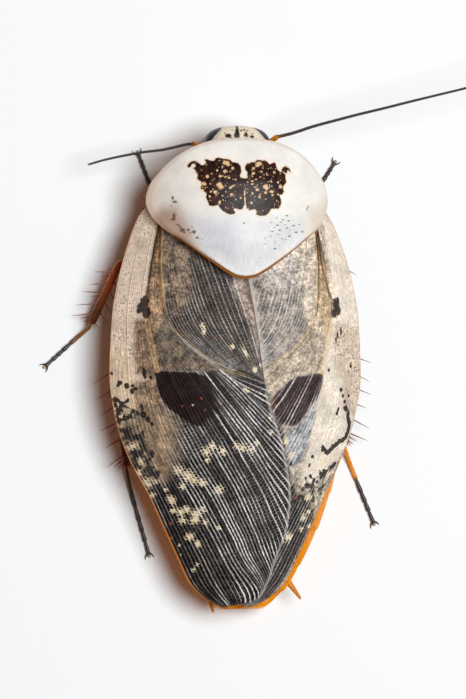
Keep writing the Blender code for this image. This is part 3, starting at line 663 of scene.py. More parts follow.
def floor_material(colour):
    """Pale matt floor with the faintest cloud of tone."""
    material, board, shader, place = new_material("pale_floor")
    clouds = board.span(board.noise(place, 8.0, 2.0), 0.3, 0.7, 0.995, 1.0)
    colour = board.mix(1.0, colour, clouds, "MULTIPLY")
    board.feed(shader, {"Base Color": colour, "Roughness": 1.0, "Specular IOR Level": 0.0})
    return material


# ---- wing covers

WING_HALF_WIDTH = through(
    (-15.6, 0.9), (-15.3, 1.6), (-14.8, 2.4), (-13.9, 3.25), (-12.1, 4.13), (-10.2, 5.0), (-8.4, 5.8), (-5.6, 7.17),
    (-3.3, 7.95), (-0.3, 8.38), (3.4, 8.22), (5.6, 7.87), (8.9, 6.88), (10.3, 6.2), (10.9, 5.6), (11.3, 4.9),
)
WING_INNER_EDGE = through(
    (-15.6, 0.3), (-15.2, 1.2), (-14.4, 1.74), (-12.1, 2.48), (-10.6, 3.04), (-8.5, 3.24), (-5.25, 2.78),
    (-3.0, 2.0), (-0.8, 1.34), (2.6, 0.87), (5.7, 0.4), (6.5, 0.2), (8.0, -0.3), (9.5, -0.8), (11.3, -2.2),
)
WING_MARGIN_Z = through(
    (-15.6, 3.7), (-12.0, 3.7), (-6.0, 3.8), (0.0, 3.95), (4.0, 3.95), (7.0, 3.85), (9.0, 3.6), (11.3, 3.3),
)
WING_RIDGE_Z = through(
    (-15.6, 4.4), (-14.0, 4.85), (-12.0, 5.4), (-8.0, 6.3), (-4.0, 6.9), (0.0, 7.1), (3.0, 6.9), (6.0, 6.45),
    (11.3, 6.45),
)
CAD_WING_THICKNESS = 0.5
CAD_OVERLAP_DROP = 1.0
CAD_OVERLAP_SHELF = 0.4
CAD_OVERLAP_RISE = through((-15.6, 0.4), (-12.0, 1.1), (-7.0, 2.2), (11.3, 2.2))
BODY_CLEARANCE = 0.5
OVERLAP_DROP = 0.24
WING_LEAN = through((-15.6, 0.12), (-13.0, 0.2), (-8.5, 0.17), (-5.0, 0.0), (11.3, 0.0))

# The veins run as a fan from the wing root, numbered from the furrow of the inner field, 0, down to the inner
# edge, -22, and up to the outer margin, 48. Each row holds a vein's number, its first and last y, and then
# at even steps between them the share of the way from the inner edge to the margin at which it lies
VEIN_TABLE = np.array((
    (0, 10.4, -0.85, 0.775, 0.738, 0.721, 0.707, 0.692, 0.674, 0.648, 0.592, 0.471, 0.3, 0.0),
    (6, 10.42, -3.7, 0.778, 0.735, 0.715, 0.698, 0.675, 0.636, 0.54, 0.36, 0.2, 0.095, 0.0),
    (12, 10.44, -6.9, 0.777, 0.739, 0.723, 0.706, 0.67, 0.56, 0.39, 0.28, 0.192, 0.115, 0.0),
    (17, 10.46, -10.3, 0.775, 0.744, 0.734, 0.715, 0.64, 0.49, 0.375, 0.295, 0.225, 0.142, 0.0),
    (21, 10.48, -12.2, 0.773, 0.75, 0.745, 0.725, 0.638, 0.51, 0.425, 0.362, 0.3, 0.2, 0.0),
    (27, 10.52, -13.9, 0.77, 0.763, 0.766, 0.75, 0.69, 0.61, 0.55, 0.498, 0.43, 0.29, 0.0),
    (33, 10.6, -14.9, 0.768, 0.773, 0.78, 0.772, 0.748, 0.718, 0.688, 0.644, 0.565, 0.405, 0.0),
    (39, 10.95, -15.35, 0.861, 0.862, 0.862, 0.854, 0.838, 0.822, 0.81, 0.795, 0.745, 0.626, 0.43),
    (48, 11.3, -15.6, 1.0, 1.0, 1.0, 1.0, 1.0, 1.0, 1.0, 1.0, 1.0, 1.0, 1.0),
))
VEIN_NUMBERS, VEIN_ENDS, VEIN_SHARES = VEIN_TABLE[:, 0], VEIN_TABLE[:, 1:3], VEIN_TABLE[:, 3:]
INNER_LINES, OUTER_LINES = 22, 48
INNER_FIELD_FAN = 1.6
MAIN_LINES = (-14, -7, 8, 17, 26, 36, 42)
LINE_OFFSETS = (0.0, 0.17, 0.5, 0.83)
LINE_SWELL = (1.0, 0.45, 0.0, 0.45)
WING_ROWS = 301
UNDERSIDE_STEP = 4
CROSS_VEIN_PITCH, CROSS_VEIN_WIDTH = 0.22, 0.042
WING_RIM_WIDTH = 0.07

LEFT_BLACK = table(
    (-627, 442, 42, 28), (-640, 408, 38, 34), (-618, 376, 40, 26), (-662, 386, 20, 15), (-779, -82, 15, 17),
    (-789, -102, 10, 10), (-739, -102, 20, 15), (-704, -102, 10, 12), (-706, -138, 21, 13), (-683, -121, 11, 15),
    (-631, -26, 30, 12), (-634, -3, 20, 10), (-828, -22, 11, 10), (-593, -49, 13, 10), (-805, -190, 20, 9),
    (-801, -230, 20, 12), (-782, -269, 27, 17), (-790, -302, 27, 10), (-775, -334, 27, 8), (-644, -243, 27, 11),
    (-673, -282, 17, 20), (-634, -289, 23, 20), (-607, -321, 20, 15), (-582, -351, 13, 12), (-690, -262, 10, 10),
    (-755, -393, 15, 17), (-725, -413, 27, 20), (-689, -439, 20, 33), (-647, -439, 20, 27), (-634, -466, 20, 17),
    (-732, -439, 20, 20), (-727, -479, 13, 13), (-684, -531, 20, 27), (-665, -557, 27, 20), (-640, -538, 17, 17),
    (-675, -584, 20, 20), (-572, -538, 20, 13), (-676, -616, 20, 17), (-598, -597, 33, 13), (-654, -636, 17, 27),
    (-595, -649, 23, 33), (-574, -675, 20, 27), (-535, -675, 20, 20), (-530, -753, 17, 20), (-523, -852, 33, 33),
    (-486, -898, 33, 33), (-435, -774, 27, 33), (-313, -807, 33, 40), (-604, -695, 13, 13),
)
LEFT_CREAM = table(
    (-406, -655, 40, 33), (-354, -687, 40, 40), (-317, -715, 33, 30), (-380, -761, 27, 23), (-259, -731, 33, 23),
    (-240, -530, 40, 27), (-235, -584, 20, 17), (-203, -492, 27, 23), (-141, -528, 33, 27), (-45, -495, 30, 27),
    (-7, -508, 27, 27), (47, -515, 33, 27), (87, -479, 20, 17), (-152, -780, 30, 33), (-441, -850, 40, 24),
    (-426, -921, 20, 20), (-382, -925, 27, 27), (-349, -910, 27, 27), (-286, -938, 37, 40), (-251, -911, 23, 23),
    (-369, -981, 27, 23), (-294, -981, 30, 33), (-232, -997, 20, 20), (-319, -1090, 27, 27), (-266, -1134, 23, 20),
    (-142, -1030, 17, 15), (-264, -1272, 16, 16), (-287, -1308, 13, 13), (-555, -818, 20, 19), (-599, -731, 30, 27),
    (-646, -675, 27, 23), (-541, -731, 16, 16), (-479, -780, 15, 13), (-637, -595, 27, 17), (-578, -751, 20, 17),
    (-595, -780, 13, 13), (-691, -498, 23, 33), (-364, -1207, 7, 7), (-380, -1144, 10, 10), (8, -128, 20, 15),
    (-81, 154, 20, 17), (-2, 118, 40, 12), (65, 3, 20, 16), (109, 35, 17, 11), (173, -310, 16, 12),
    (180, -404, 20, 13), (-270, 289, 23, 17), (-264, 249, 17, 13), (-332, -227, 8, 7),
)
LEFT_ORANGE = table(
    (-437, -1003, 17, 17), (-426, -1100, 17, 16), (-107, 105, 17, 13), (-188, 210, 27, 8), (-399, -232, 13, 12),
    (-255, -262, 13, 12), (-156, -216, 20, 10), (-280, -182, 15, 11), (-71, 439, 10, 10), (-77, 540, 10, 10),
    (-556, -885, 33, 16), (-560, -7, 13, 20), (-443, 33, 13, 13), (-209, 7, 20, 13),
)
LEFT_PATCH = table(
    (-572, -10), (-511, -7), (-418, -13), (-324, -16), (-248, -39), (-209, -92), (-157, -170), (-143, -249),
    (-187, -334), (-244, -380), (-333, -354), (-409, -305), (-484, -249), (-537, -170), (-559, -92),
)
LEFT_COSTA = table(
    (-571, 1036), (-519, 970), (-551, 787), (-593, 590), (-614, 479), (-611, 341), (-595, 197), (-560, 13),
    (-590, -52), (-662, -79), (-734, -52), (-867, -66), (-907, 197), (-887, 459), (-838, 656), (-733, 885),
    (-640, 1160),
)
LEFT_STREAKS = table(
    (-880, -66), (-752, -26), (-566, -7), (-534, -184), (-477, -269), (-426, -354), (-423, -492), (-443, -603),
    (-485, -708), (-529, -761), (-577, -748), (-670, -656), (-771, -525), (-852, -361),
)
LEFT_DISC = table(
    (-594, 557), (-529, 708), (-523, 433), (-471, 275), (-361, 157), (-241, 66), (-131, 7), (-267, -13), (-566, -7),
    (-601, 230),
)
LEFT_NET = table(
    (-515, -230), (-409, -315), (-307, -374), (-198, -433), (-184, -498), (-284, -538), (-357, -603), (-430, -603),
    (-436, -459), (-464, -328),
)
# The left cover's dark rear field, where the veins are laid on at full strength: the extra brightness of its veins
# is painted sheen, where the cover faces up to the light
LEFT_VEIN_SHEEN = table(
    (116, -66), (185, -210), (297, -525), (358, -984), (324, -1246), (233, -1482), (79, -1548), (-13, -1443),
    (-50, -1246), (-102, -984), (-73, -721), (14, -538), (-9, -361), (-112, -66), (-33, 0),
)
LEFT_RADIUS = table(
    (-524, 970), (-548, 852), (-578, 708), (-599, 577), (-614, 479), (-617, 341), (-601, 230), (-578, 105),
    (-554, 0),
)
LEFT_SHOULDER = table((-524, 970), (-522, 905), (-508, 813), (-529, 734))
RIGHT_BLACK = table(
    (650, 430, 42, 25), (660, 390, 36, 25), (636, 374, 30, 20), (666, 450, 27, 12), (685, 256, 33, 6),
    (659, 226, 20, 7), (646, 197, 20, 7), (759, 26, 13, 11), (590, 0, 12, 10), (684, -129, 16, 12),
    (716, -208, 13, 11), (666, -260, 20, 9), (725, -252, 20, 20), (658, -285, 13, 10), (745, -295, 33, 12),
    (700, -170, 13, 9), (746, -170, 13, 8), (559, -523, 13, 13), (586, -541, 13, 17), (619, -523, 15, 17),
    (636, -501, 17, 13), (667, -483, 13, 17), (689, -464, 13, 17), (719, -454, 13, 17), (485, -567, 13, 13),
    (464, -622, 17, 9), (332, -614, 13, 20), (315, -658, 13, 13), (632, -643, 20, 17), (577, -662, 15, 12),
    (589, -698, 20, 9), (456, -757, 20, 20), (424, -779, 15, 13), (440, -896, 30, 27), (394, -931, 33, 27),
    (372, -977, 53, 30), (551, -787, 13, 11), (506, -800, 20, 10), (531, -734, 15, 10), (402, -833, 20, 13),
    (242, -433, 40, 27), (272, -498, 33, 20),
)
RIGHT_CREAM = table(
    (613, -691, 33, 16), (469, -830, 33, 20), (536, -881, 27, 16), (584, -826, 20, 16), (446, -969, 27, 24),
    (481, -931, 20, 17), (493, -1028, 20, 17), (339, -1094, 31, 28), (435, -1043, 20, 17), (341, -557, 27, 27),
    (559, -603, 40, 20), (642, -570, 27, 20), (292, -466, 27, 16),
)
RIGHT_ORANGE = table(
    (756, 344, 11, 11), (373, -839, 20, 15), (186, -197, 40, 16), (467, -10, 13, 20), (496, 13, 13, 13),
    (274, -557, 20, 13), (124, 387, 12, 12), (211, -230, 20, 13), (660, 374, 13, 11),
)
RIGHT_PATCH = table(
    (548, -26), (489, -23), (409, -39), (352, -39), (282, -85), (227, -138), (190, -190), (190, -243), (241, -354),
    (336, -367), (385, -334), (427, -282), (477, -216), (506, -190), (541, -98),
)
# A streaky field of the right cover whose bluish grey is painted sheen
RIGHT_BLUE_SHEEN = table(
    (499, -203), (449, -269), (399, -328), (322, -380), (284, -433), (302, -538), (335, -643), (395, -603),
    (434, -511), (467, -393), (500, -275),
)
RIGHT_OUTER = table(
    (545, 1160), (593, 852), (613, 656), (615, 459), (580, 262), (548, 66), (541, -98), (506, -197), (473, -361),
    (442, -525), (405, -656), (426, -754), (553, -721), (696, -557), (899, -393), (930, 66), (884, 525), (771, 918),
    (641, 1180),
)
# The right cover's dark inner rear, under and beside the left cover: beside the left cover's overlapping edge this
# dark ground is painted shadow of that edge
RIGHT_INNER_REAR_AND_EDGE_SHADOW = table(
    (120, -98), (190, -197), (205, -275), (248, -361), (278, -459), (304, -590), (347, -721), (403, -852),
    (487, -852), (534, -984), (367, -1311), (180, -1574), (25, -1587), (7, -1246), (-16, -721),
)
RIGHT_RADIUS = table((535, 898), (548, 708), (595, 525), (622, 459), (611, 328), (586, 164), (541, -13))
RIGHT_SHOULDER = table((531, 898), (515, 813), (510, 787))

LEFT_NETTED = table((0, -560), (160, -460), (320, -650), (360, -950), (300, -1150), (140, -1080), (40, -860))
LEFT_CLAVUS_SHOULDER = table(
    (-530, 1060), (-320, 950), (-300, 750), (-340, 500), (-420, 320), (-510, 460), (-540, 700),
)
LEFT_FAN = table(
    (-300, -30), (-20, -30), (140, -120), (200, -320), (240, -480), (60, -490), (-100, -320), (-160, -160),
)
LEFT_SUTURE = table((-90, 680), (60, 620), (130, 260), (170, -40), (100, 40), (40, 300), (-70, 520))
LEFT_COSTA_INNER = table((-660, 240), (-590, 260), (-550, 20), (-550, -200), (-600, -300), (-640, -80))
LEFT_COSTA_EDGE = table((-690, 320), (-600, 340), (-575, 60), (-600, -20), (-680, -20), (-700, 140))
LEFT_FURROW_STRIP = table(
    (-530, 970), (-502, 970), (-500, 500), (-515, 350), (-560, 240), (-610, 260), (-615, 480), (-590, 660),
    (-555, 840),
)
LEFT_PATCH_VEINS = table(
    (-230, 0), (-100, -60), (-70, -280), (-200, -420), (-280, -390), (-180, -260), (-190, -120),
)
LEFT_REAR_EDGE = table(
    (-540, -760), (-400, -1250), (-160, -1530), (-100, -1480), (-230, -1230), (-330, -980), (-420, -760),
)
LEFT_COSTA_REAR = table((-890, 160), (-740, 160), (-690, -60), (-690, -240), (-760, -360), (-890, -300))
RIGHT_CLAVUS_SHOULDER = table((340, 900), (560, 1000), (600, 500), (520, 240), (420, 320), (400, 600))
RIGHT_TOP = table((90, 660), (320, 920), (540, 1000), (520, 650), (360, 540), (200, 490))
RIGHT_FURROW_STRIP = table(
    (535, 960), (510, 920), (515, 500), (530, 320), (570, 220), (615, 280), (620, 480), (595, 620), (550, 820),
)
RIGHT_OUTER_SHADE = table((630, 300), (830, 300), (870, -50), (830, -320), (730, -300), (700, -100), (640, 60))
RIGHT_BLACK_LINES = (
    ((5.58, -5.05), (5.96, -5.46), (6.33, -5.13), (6.79, -4.76), (7.17, -4.61), (7.35, -4.39), (7.55, -3.87),
     (7.58, -3.5), (7.47, -3.2)),
    ((6.61, -6.17), (6.3, -6.47), (6.03, -6.69), (5.8, -6.69), (5.58, -7.06)),
)

# Bands where a ragged black network frames cream cells, and the middle distance of those cells
LEFT_CELLS = table(
    (-860, -160), (-730, -160), (-660, -320), (-580, -500), (-500, -720), (-440, -880), (-460, -960), (-580, -820),
    (-700, -580), (-800, -420), (-860, -280),
)
RIGHT_CELLS = table(
    (430, -700), (520, -640), (650, -620), (620, -720), (520, -940), (400, -1160), (340, -1120), (400, -920),
)
CELL_SIZE, CELL_SEED = 0.62, 5
BLACK_LINE_REACH = 0.27

# Each zone: outline, softness of its edge, ground colour, then light of the veins, light of the net, amount
# of speckle, amount of streaks and strength of the mottling. A base and an inner field have no outline
LEFT_BASE = (tone(22, 17, 15), 0.9, 0.01, 0.0, 0.2, 0.6)
LEFT_ZONES = (
    # Dark rear field whose veins are made brightest as painted sheen
    (LEFT_VEIN_SHEEN, 0.9, tone(24, 19, 18), 1.25, 0.015, 0.0, 0.1, 0.5),
    (LEFT_FAN, 0.8, tone(34, 23, 21), 1.2, 0.01, 0.0, 0.1, 0.4),
    (LEFT_NETTED, 0.9, tone(34, 26, 22), 0.95, 0.16, 0.0, 0.1, 0.6),
    (LEFT_NET, 0.6, tone(34, 29, 27), 0.6, 0.14, 0.0, 0.2, 0.7),
    (LEFT_DISC, 0.4, tone(100, 87, 74), 0.12, 0.03, 0.2, 0.1, 1.0),
    (LEFT_CLAVUS_SHOULDER, 0.8, tone(118, 103, 89), 0.12, 0.03, 0.1, 0.1, 1.0),
    (LEFT_SUTURE, 0.7, tone(158, 142, 132), 0.7, 0.06, 0.2, 0.1, 0.6),
    (LEFT_STREAKS, 1.1, tone(146, 125, 102), 0.15, 0.05, 0.2, 1.0, 0.3),
    (LEFT_COSTA, 0.35, tone(218, 198, 179), 0.0, 0.0, 0.8, 0.1, 0.05),
    (LEFT_COSTA_INNER, 0.9, tone(140, 118, 98), 0.0, 0.0, 0.3, 0.5, 0.6),
    (LEFT_COSTA_EDGE, 0.5, tone(138, 115, 97), 0.0, 0.0, 0.5, 0.3, 0.5),
    (LEFT_FURROW_STRIP, 0.3, tone(168, 144, 120), 0.05, 0.0, 0.5, 0.3, 0.5),
    (LEFT_REAR_EDGE, 0.6, tone(20, 15, 14), 0.25, 0.0, 0.1, 0.1, 0.6),
    (LEFT_COSTA_REAR, 0.7, tone(214, 192, 166), 0.0, 0.0, 0.3, 0.5, 0.1),
    (LEFT_PATCH, 0.1, tone(30, 17, 17), 0.02, 0.0, 0.0, 0.2, 0.35),
    (LEFT_PATCH_VEINS, 0.7, tone(32, 20, 19), 0.9, 0.0, 0.0, 0.1, 0.3),
)
LEFT_INNER_FIELD = (tone(56, 46, 40), 0.42, 0.08, 0.1, 0.1, 0.75)
RIGHT_BASE = (tone(182, 168, 150), 0.3, 0.1, 0.3, 0.5, 0.4)
RIGHT_ZONES = (
    # Dark ground, painted shadow beside the left cover's overlapping edge
    (RIGHT_INNER_REAR_AND_EDGE_SHADOW, 0.4, tone(44, 35, 30), 0.5, 0.06, 0.1, 0.3, 0.7),
    (RIGHT_OUTER, 0.4, tone(228, 215, 200), 0.0, 0.0, 0.3, 0.3, 0.05),
    (RIGHT_OUTER_SHADE, 0.8, tone(206, 188, 170), 0.0, 0.0, 0.9, 0.2, 0.15),
    (RIGHT_TOP, 0.9, tone(190, 180, 173), 0.5, 0.06, 0.3, 0.1, 0.45),
    (RIGHT_CLAVUS_SHOULDER, 0.7, tone(202, 188, 172), 0.3, 0.04, 0.3, 0.2, 0.4),
    (RIGHT_FURROW_STRIP, 0.3, tone(204, 182, 154), 0.05, 0.0, 0.3, 0.2, 0.3),
    # Bluish-grey ground, painted sheen
    (RIGHT_BLUE_SHEEN, 0.4, tone(138, 143, 150), 0.8, 0.02, 0.0, 0.7, 0.5),
    (RIGHT_PATCH, 0.1, tone(58, 40, 42), 0.7, 0.0, 0.0, 0.4, 0.3),
)
RIGHT_INNER_FIELD = (tone(140, 130, 124), 0.6, 0.1, 0.3, 0.1, 0.72)
WING_PAINT = {
    LEFT: (
        LEFT_BASE, LEFT_INNER_FIELD, LEFT_ZONES, (LEFT_BLACK, LEFT_CREAM, LEFT_ORANGE), LEFT_CELLS, (),
        LEFT_RADIUS, LEFT_SHOULDER,
    ),
    RIGHT: (
        RIGHT_BASE, RIGHT_INNER_FIELD, RIGHT_ZONES, (RIGHT_BLACK, RIGHT_CREAM, RIGHT_ORANGE), RIGHT_CELLS,
        RIGHT_BLACK_LINES, RIGHT_RADIUS, RIGHT_SHOULDER,
    ),
}


def dome_z(x, y):
    """Height of the folded wing covers: the margin's, plus the ridge's rise over it times 1 less the square
    of the share of the way out."""
    share = np.clip(np.abs(x) / WING_HALF_WIDTH(y), 0.0, 1.0)
    margin = WING_MARGIN_Z(y)
    return margin + (WING_RIDGE_Z(y) - margin) * (1 - share**2)


def under_wings_z(x, y):
    """The highest that the body may reach: the dome less the CAD wing cover, its overlap and a clearance."""
    outside = np.abs(x) - WING_INNER_EDGE(y) - CAD_OVERLAP_SHELF
    drop = CAD_OVERLAP_DROP * (1 - smooth_step(outside / CAD_OVERLAP_RISE(y)))
    return dome_z(x, y) - CAD_WING_THICKNESS - drop - BODY_CLEARANCE


def vein_place(number, t):
    """Plan positions on the veins of the left wing cover: a row for each t, which goes from 0 at the root to
    1 at the end, and a column for each vein number.

    The table's shares are read off smoothly along t and then across the numbers, and in the inner field,
    below vein 0, they are drawn in towards the edge by a power that opens at the root."""
    fan = np.maximum(number, 0.0)
    share = hermite(VEIN_NUMBERS, hermite(np.linspace(0.0, 1.0, 11), VEIN_SHARES, t).T, fan)
    inward = np.clip(1.0 + np.minimum(number, 0.0) / INNER_LINES, 0.0, 1.0)
    share = share * inward ** (1 / (1 + INNER_FIELD_FAN * (1 - t[:, None]) ** 1.5))
    first, last = hermite(VEIN_NUMBERS, VEIN_ENDS.T, fan)
    y = first + (last - first) * t[:, None]
    inner = WING_INNER_EDGE(y)
    return inner + share * (-WING_HALF_WIDTH(y) - inner), y


def wing_grid(side, sizes):
    """The upper surface: points at each line number and each step along the veins, as the dome plus each
    vein's swelling, with the right cover let down under the left one near the midline."""
    whole = np.arange(-INNER_LINES, OUTER_LINES)
    number = np.append((whole[:, None] + np.array(LINE_OFFSETS)).ravel(), OUTER_LINES)
    swell = np.append(np.tile(LINE_SWELL, len(whole)), 1.0)
    main = np.abs(number[:, None] - np.array(MAIN_LINES)).min(1) < 0.45
    t = np.linspace(0.0, 1.0, WING_ROWS)
    t = t + 0.12 * np.sin(2 * np.pi * t) / (2 * np.pi)
    x, y = vein_place(number, t)
    t = t[:, None]
    if side == RIGHT:
        x = -x
    ends = smooth_step(np.minimum(t / 0.1, (1 - t) / 0.1))
    z = dome_z(x, y)
    if side == RIGHT:
        z = z - OVERLAP_DROP * (1 - smooth_step((x - WING_INNER_EDGE(y) - 0.2) / 0.8))
    smooth = np.stack([x + WING_LEAN(y), y, z], -1)
    height = np.where(main, sizes.main_vein_height, sizes.vein_height) / MM
    furrow = bump(number, 0.5) * 0.09
    relief = (swell * height - furrow) * ends
    raised = smooth + relief[..., None] * (0.0, 0.0, 1.0)
    return number, smooth, raised


def cell_network(x, y, outline, size, seed):
    """A black network between cells inside an outline, as a field: less than one half along the lines, from
    the difference of the distances to the two nearest of a set of scattered middles, and up to 1 in the
    blots where the third nearest is about as far."""
    corners = np.array(outline)
    steps = [np.arange(low, high, size) for low, high in zip(corners.min(0) - size, corners.max(0) + size)]
    middles = np.stack(np.meshgrid(*steps), -1).reshape(-1, 2)
    middles = middles + np.random.default_rng(seed).uniform(-0.45, 0.45, middles.shape) * size
    plan = np.stack([x, y], -1).reshape(-1, 1, 2)
    near = np.sort(np.linalg.norm(plan - middles, axis=-1), axis=-1)[:, :3]
    line = 0.62 - (near[:, 1] - near[:, 0]) / 0.55
    blot = 1.15 - (near[:, 2] - near[:, 0]) / 0.36
    field = np.maximum(line, blot).reshape(x.shape)
    return np.clip(field, 0.0, 1.0) * smooth_step(inside_by(x, y, outline) / 0.5 + 0.5)


def wing_cover(side, material, sizes):
    """One wing cover: the vein grid over an underside of every fourth row and column, painted by zones."""
    number, smooth, raised = wing_grid(side, sizes)
    step = UNDERSIDE_STEP
    shapes = Shapes()
    shapes.plate(raised, smooth[::step, ::step] - (0.0, 0.0, sizes.wing_thickness / MM), step)

    x, y = smooth[..., 0], smooth[..., 1]
    heading = unit(np.gradient(smooth, axis=0))
    sideways = np.gradient(smooth, number, axis=1)
    spacing = np.linalg.norm(np.cross(heading, sideways), axis=-1)
    grid = np.stack([np.broadcast_to(number, x.shape), lengths_along(smooth)], -1)

    base, field, zones, spots, cells, black_lines, radius, shoulder = WING_PAINT[side]
    base, field = (np.array([*colour, *rest]) for colour, *rest in (base, field))
    values = lay_zones(x, y, base + smooth_step(-number / 1.2 + 0.5)[:, None] * (field - base), zones)
    ground, net = values[..., [0, 1, 2, 7]], values[..., 3:7]
    black, cream, orange = (spot_field(x, y, kind, unit(heading[..., :2])) for kind in spots)
    black = np.maximum(black, cell_network(x, y, cells, CELL_SIZE, CELL_SEED))
    for line in black_lines:
        black = np.maximum(black, 1 - line_distance(x, y, line) / BLACK_LINE_REACH)
    marks = np.stack([black, cream, orange, spacing], -1)

    # Gold and dark lines beside the furrow and along the radius, a dark line of painted shadow along the left
    # cover's overlapping inner edge, the pale middle edge and the outer rim
    furrow_gap = np.abs(number) * spacing
    fade = smooth_step((y + 0.7) / 0.8) * smooth_step(9.4 - y)
    radius_gap = line_distance(x, y, radius)
    below_patch = smooth_step((3.6 - y) / 0.4)
    gold = 0.85 * bump(furrow_gap - 0.13, 0.05) * fade + 0.85 * bump(radius_gap - 0.1, 0.06) * below_patch
    brown_and_edge_shadow = 0.75 * bump(radius_gap, 0.07) * (1 - below_patch) + 0.8 * bump(furrow_gap, 0.03) * fade
    brown_and_edge_shadow = np.maximum(brown_and_edge_shadow, 0.85 * bump(line_distance(x, y, shoulder), 0.1))
    straight = x - WING_LEAN(y)
    if side == LEFT:
        to_inner = np.abs(straight - WING_INNER_EDGE(y))
        # Painted shadow: a dark line along the left cover's inner edge, where it lies over the right cover
        brown_and_edge_shadow = np.maximum(brown_and_edge_shadow, 0.9 * bump(to_inner, 0.09) * smooth_step((y + 1.0) / 0.5))
        pale = 0.6 * bump(to_inner - 0.1, 0.08) * smooth_step((-y - 1.2) / 0.5)
    else:
        pale = 0.7 * smooth_step(1 - np.abs(x - WING_INNER_EDGE(y) - 0.12) / 0.3) * smooth_step((y + 1.5) / 1.5)
    # The outer rim, stronger towards the rear: partly its own amber, partly painted glow of light shining through
    # the thin edge
    to_margin = WING_HALF_WIDTH(y) - side * straight
    rear = smooth_step((-y - 1.0) / 12.0)
    rim = smooth_step((WING_RIM_WIDTH - to_margin) / 0.06 + 0.5) * (0.35 + 0.65 * rear)
    trim = np.clip(np.stack([gold, brown_and_edge_shadow, rim, pale], -1), 0.0, 1.0)

    def both_sheets(values):
        return np.concatenate([v.reshape(-1, v.shape[-1]) for v in (values, values[::step, ::step])])

    mesh = make_piece(WORDS[side] + "_wing_cover", shapes, material, ["tegmen_" + WORDS[side]])
    for word, stored in (("ground", ground), ("marks", marks), ("net", net), ("trim", trim)):
        store_tones(mesh, word, both_sheets(stored))
    store_grid(mesh, "vein_grid", both_sheets(grid))


# ---- shield

SHIELD_MIDDLE_Y = 10.9
SHIELD_OUTLINE = table(
    (0, 1515), (180, 1500), (310, 1460), (430, 1390), (525, 1295), (590, 1195), (607, 1100), (580, 1010),
    (510, 920), (410, 845), (310, 768), (210, 695), (125, 636), (55, 602), (0, 594),
)
SHIELD_RIDGE_Z = through((5.94, 7.45), (9.0, 7.86), (12.0, 7.7), (14.0, 7.0), (15.15, 6.35))
SHIELD_REACH = 6.07
SHIELD_DROP = 3.2
SHIELD_POWER = 2.8
CAD_SHIELD_THICKNESS = 0.55
SHIELD_SIDES = 320
MASK = table(
    (-31, 1297), (-32, 1322), (-43, 1342), (-65, 1352), (-83, 1350), (-97, 1367), (-116, 1372), (-146, 1375),
    (-171, 1382), (-191, 1377), (-202, 1360), (-226, 1362), (-252, 1372), (-263, 1365), (-252, 1352), (-262, 1336),
    (-282, 1330), (-300, 1347), (-318, 1360), (-341, 1358), (-363, 1342), (-370, 1325), (-361, 1315), (-351, 1322),
    (-342, 1340), (-326, 1342), (-318, 1328), (-326, 1317), (-337, 1315), (-331, 1305), (-320, 1300), (-323, 1287),
    (-310, 1272), (-314, 1242), (-302, 1229), (-289, 1222), (-291, 1202), (-297, 1182), (-280, 1164), (-259, 1147),
    (-264, 1122), (-252, 1096), (-245, 1071), (-226, 1063), (-204, 1069), (-187, 1074), (-175, 1051), (-155, 1031),
    (-134, 1016), (-110, 1011), (-84, 1015), (-76, 1024), (-89, 1041), (-83, 1051), (-69, 1049), (-44, 1041),
    (-27, 1049), (-19, 1071), (-4, 1069), (-2, 1049), (18, 1038), (38, 1044), (55, 1046), (64, 1029), (59, 1012),
    (79, 1004), (99, 1001), (125, 1006), (146, 1021), (158, 1041), (168, 1051), (189, 1049), (210, 1050),
    (226, 1066), (233, 1091), (228, 1119), (219, 1136), (244, 1147), (253, 1162), (247, 1182), (253, 1202),
    (270, 1222), (266, 1252), (269, 1275), (252, 1287), (242, 1300), (253, 1318), (274, 1330), (295, 1318),
    (308, 1292), (304, 1281), (296, 1296), (284, 1306), (280, 1287), (270, 1280), (257, 1291), (233, 1290),
    (213, 1305), (207, 1332), (201, 1352), (186, 1351), (171, 1340), (158, 1340), (153, 1352), (134, 1367),
    (120, 1362), (103, 1368), (77, 1367), (63, 1353), (34, 1350), (9, 1341), (-4, 1322), (-2, 1301), (11, 1287),
    (7, 1267), (10, 1248), (-12, 1247), (-37, 1249), (-42, 1267), (-31, 1285),
)
MASK_SPECKS = table(
    (-251, 1257, 10, 10), (-275, 1209, 14, 12), (-170, 1259, 9, 8), (-138, 1292, 11, 9), (-187, 1297, 6, 8),
    (-126, 1347, 21, 13), (-113, 1336, 11, 10), (-86, 1312, 9, 9), (-177, 1203, 18, 15), (-168, 1189, 17, 12),
    (-205, 1156, 11, 10), (-232, 1159, 7, 7), (-240, 1127, 8, 8), (-101, 1142, 8, 7), (-178, 1089, 8, 13),
    (-40, 1119, 6, 6), (-159, 1132, 5, 5), (-198, 1139, 5, 5), (-107, 1184, 9, 8), (-95, 1193, 8, 5),
    (-83, 1201, 7, 4), (-135, 1256, 10, 4), (-113, 1249, 9, 5), (-71, 1237, 7, 5), (-208, 1242, 5, 5),
    (-234, 1209, 5, 5), (-223, 1277, 5, 5), (-151, 1322, 5, 5), (-285, 1169, 11, 7), (52, 1312, 9, 8),
    (90, 1342, 18, 14), (79, 1330, 12, 9), (49, 1280, 10, 9), (104, 1291, 7, 7), (190, 1287, 8, 8),
    (139, 1272, 6, 6), (213, 1222, 8, 8), (229, 1194, 13, 11), (127, 1192, 17, 14), (133, 1182, 13, 10),
    (125, 1153, 9, 8), (167, 1162, 15, 8), (171, 1139, 8, 8), (212, 1142, 7, 6), (39, 1147, 7, 7), (83, 1127, 7, 7),
    (32, 1086, 8, 7), (1, 1154, 5, 5), (38, 1209, 8, 5), (56, 1189, 9, 5), (72, 1172, 11, 8), (39, 1229, 10, 5),
    (65, 1239, 8, 4), (126, 1111, 5, 5), (165, 1227, 6, 6), (93, 1257, 6, 5), (114, 1315, 5, 5), (144, 1222, 4, 4),
    (166, 1312, 4, 4), (-14, 1147, 5, 18), (-13, 1111, 5, 18), (-11, 1081, 5, 15),
)
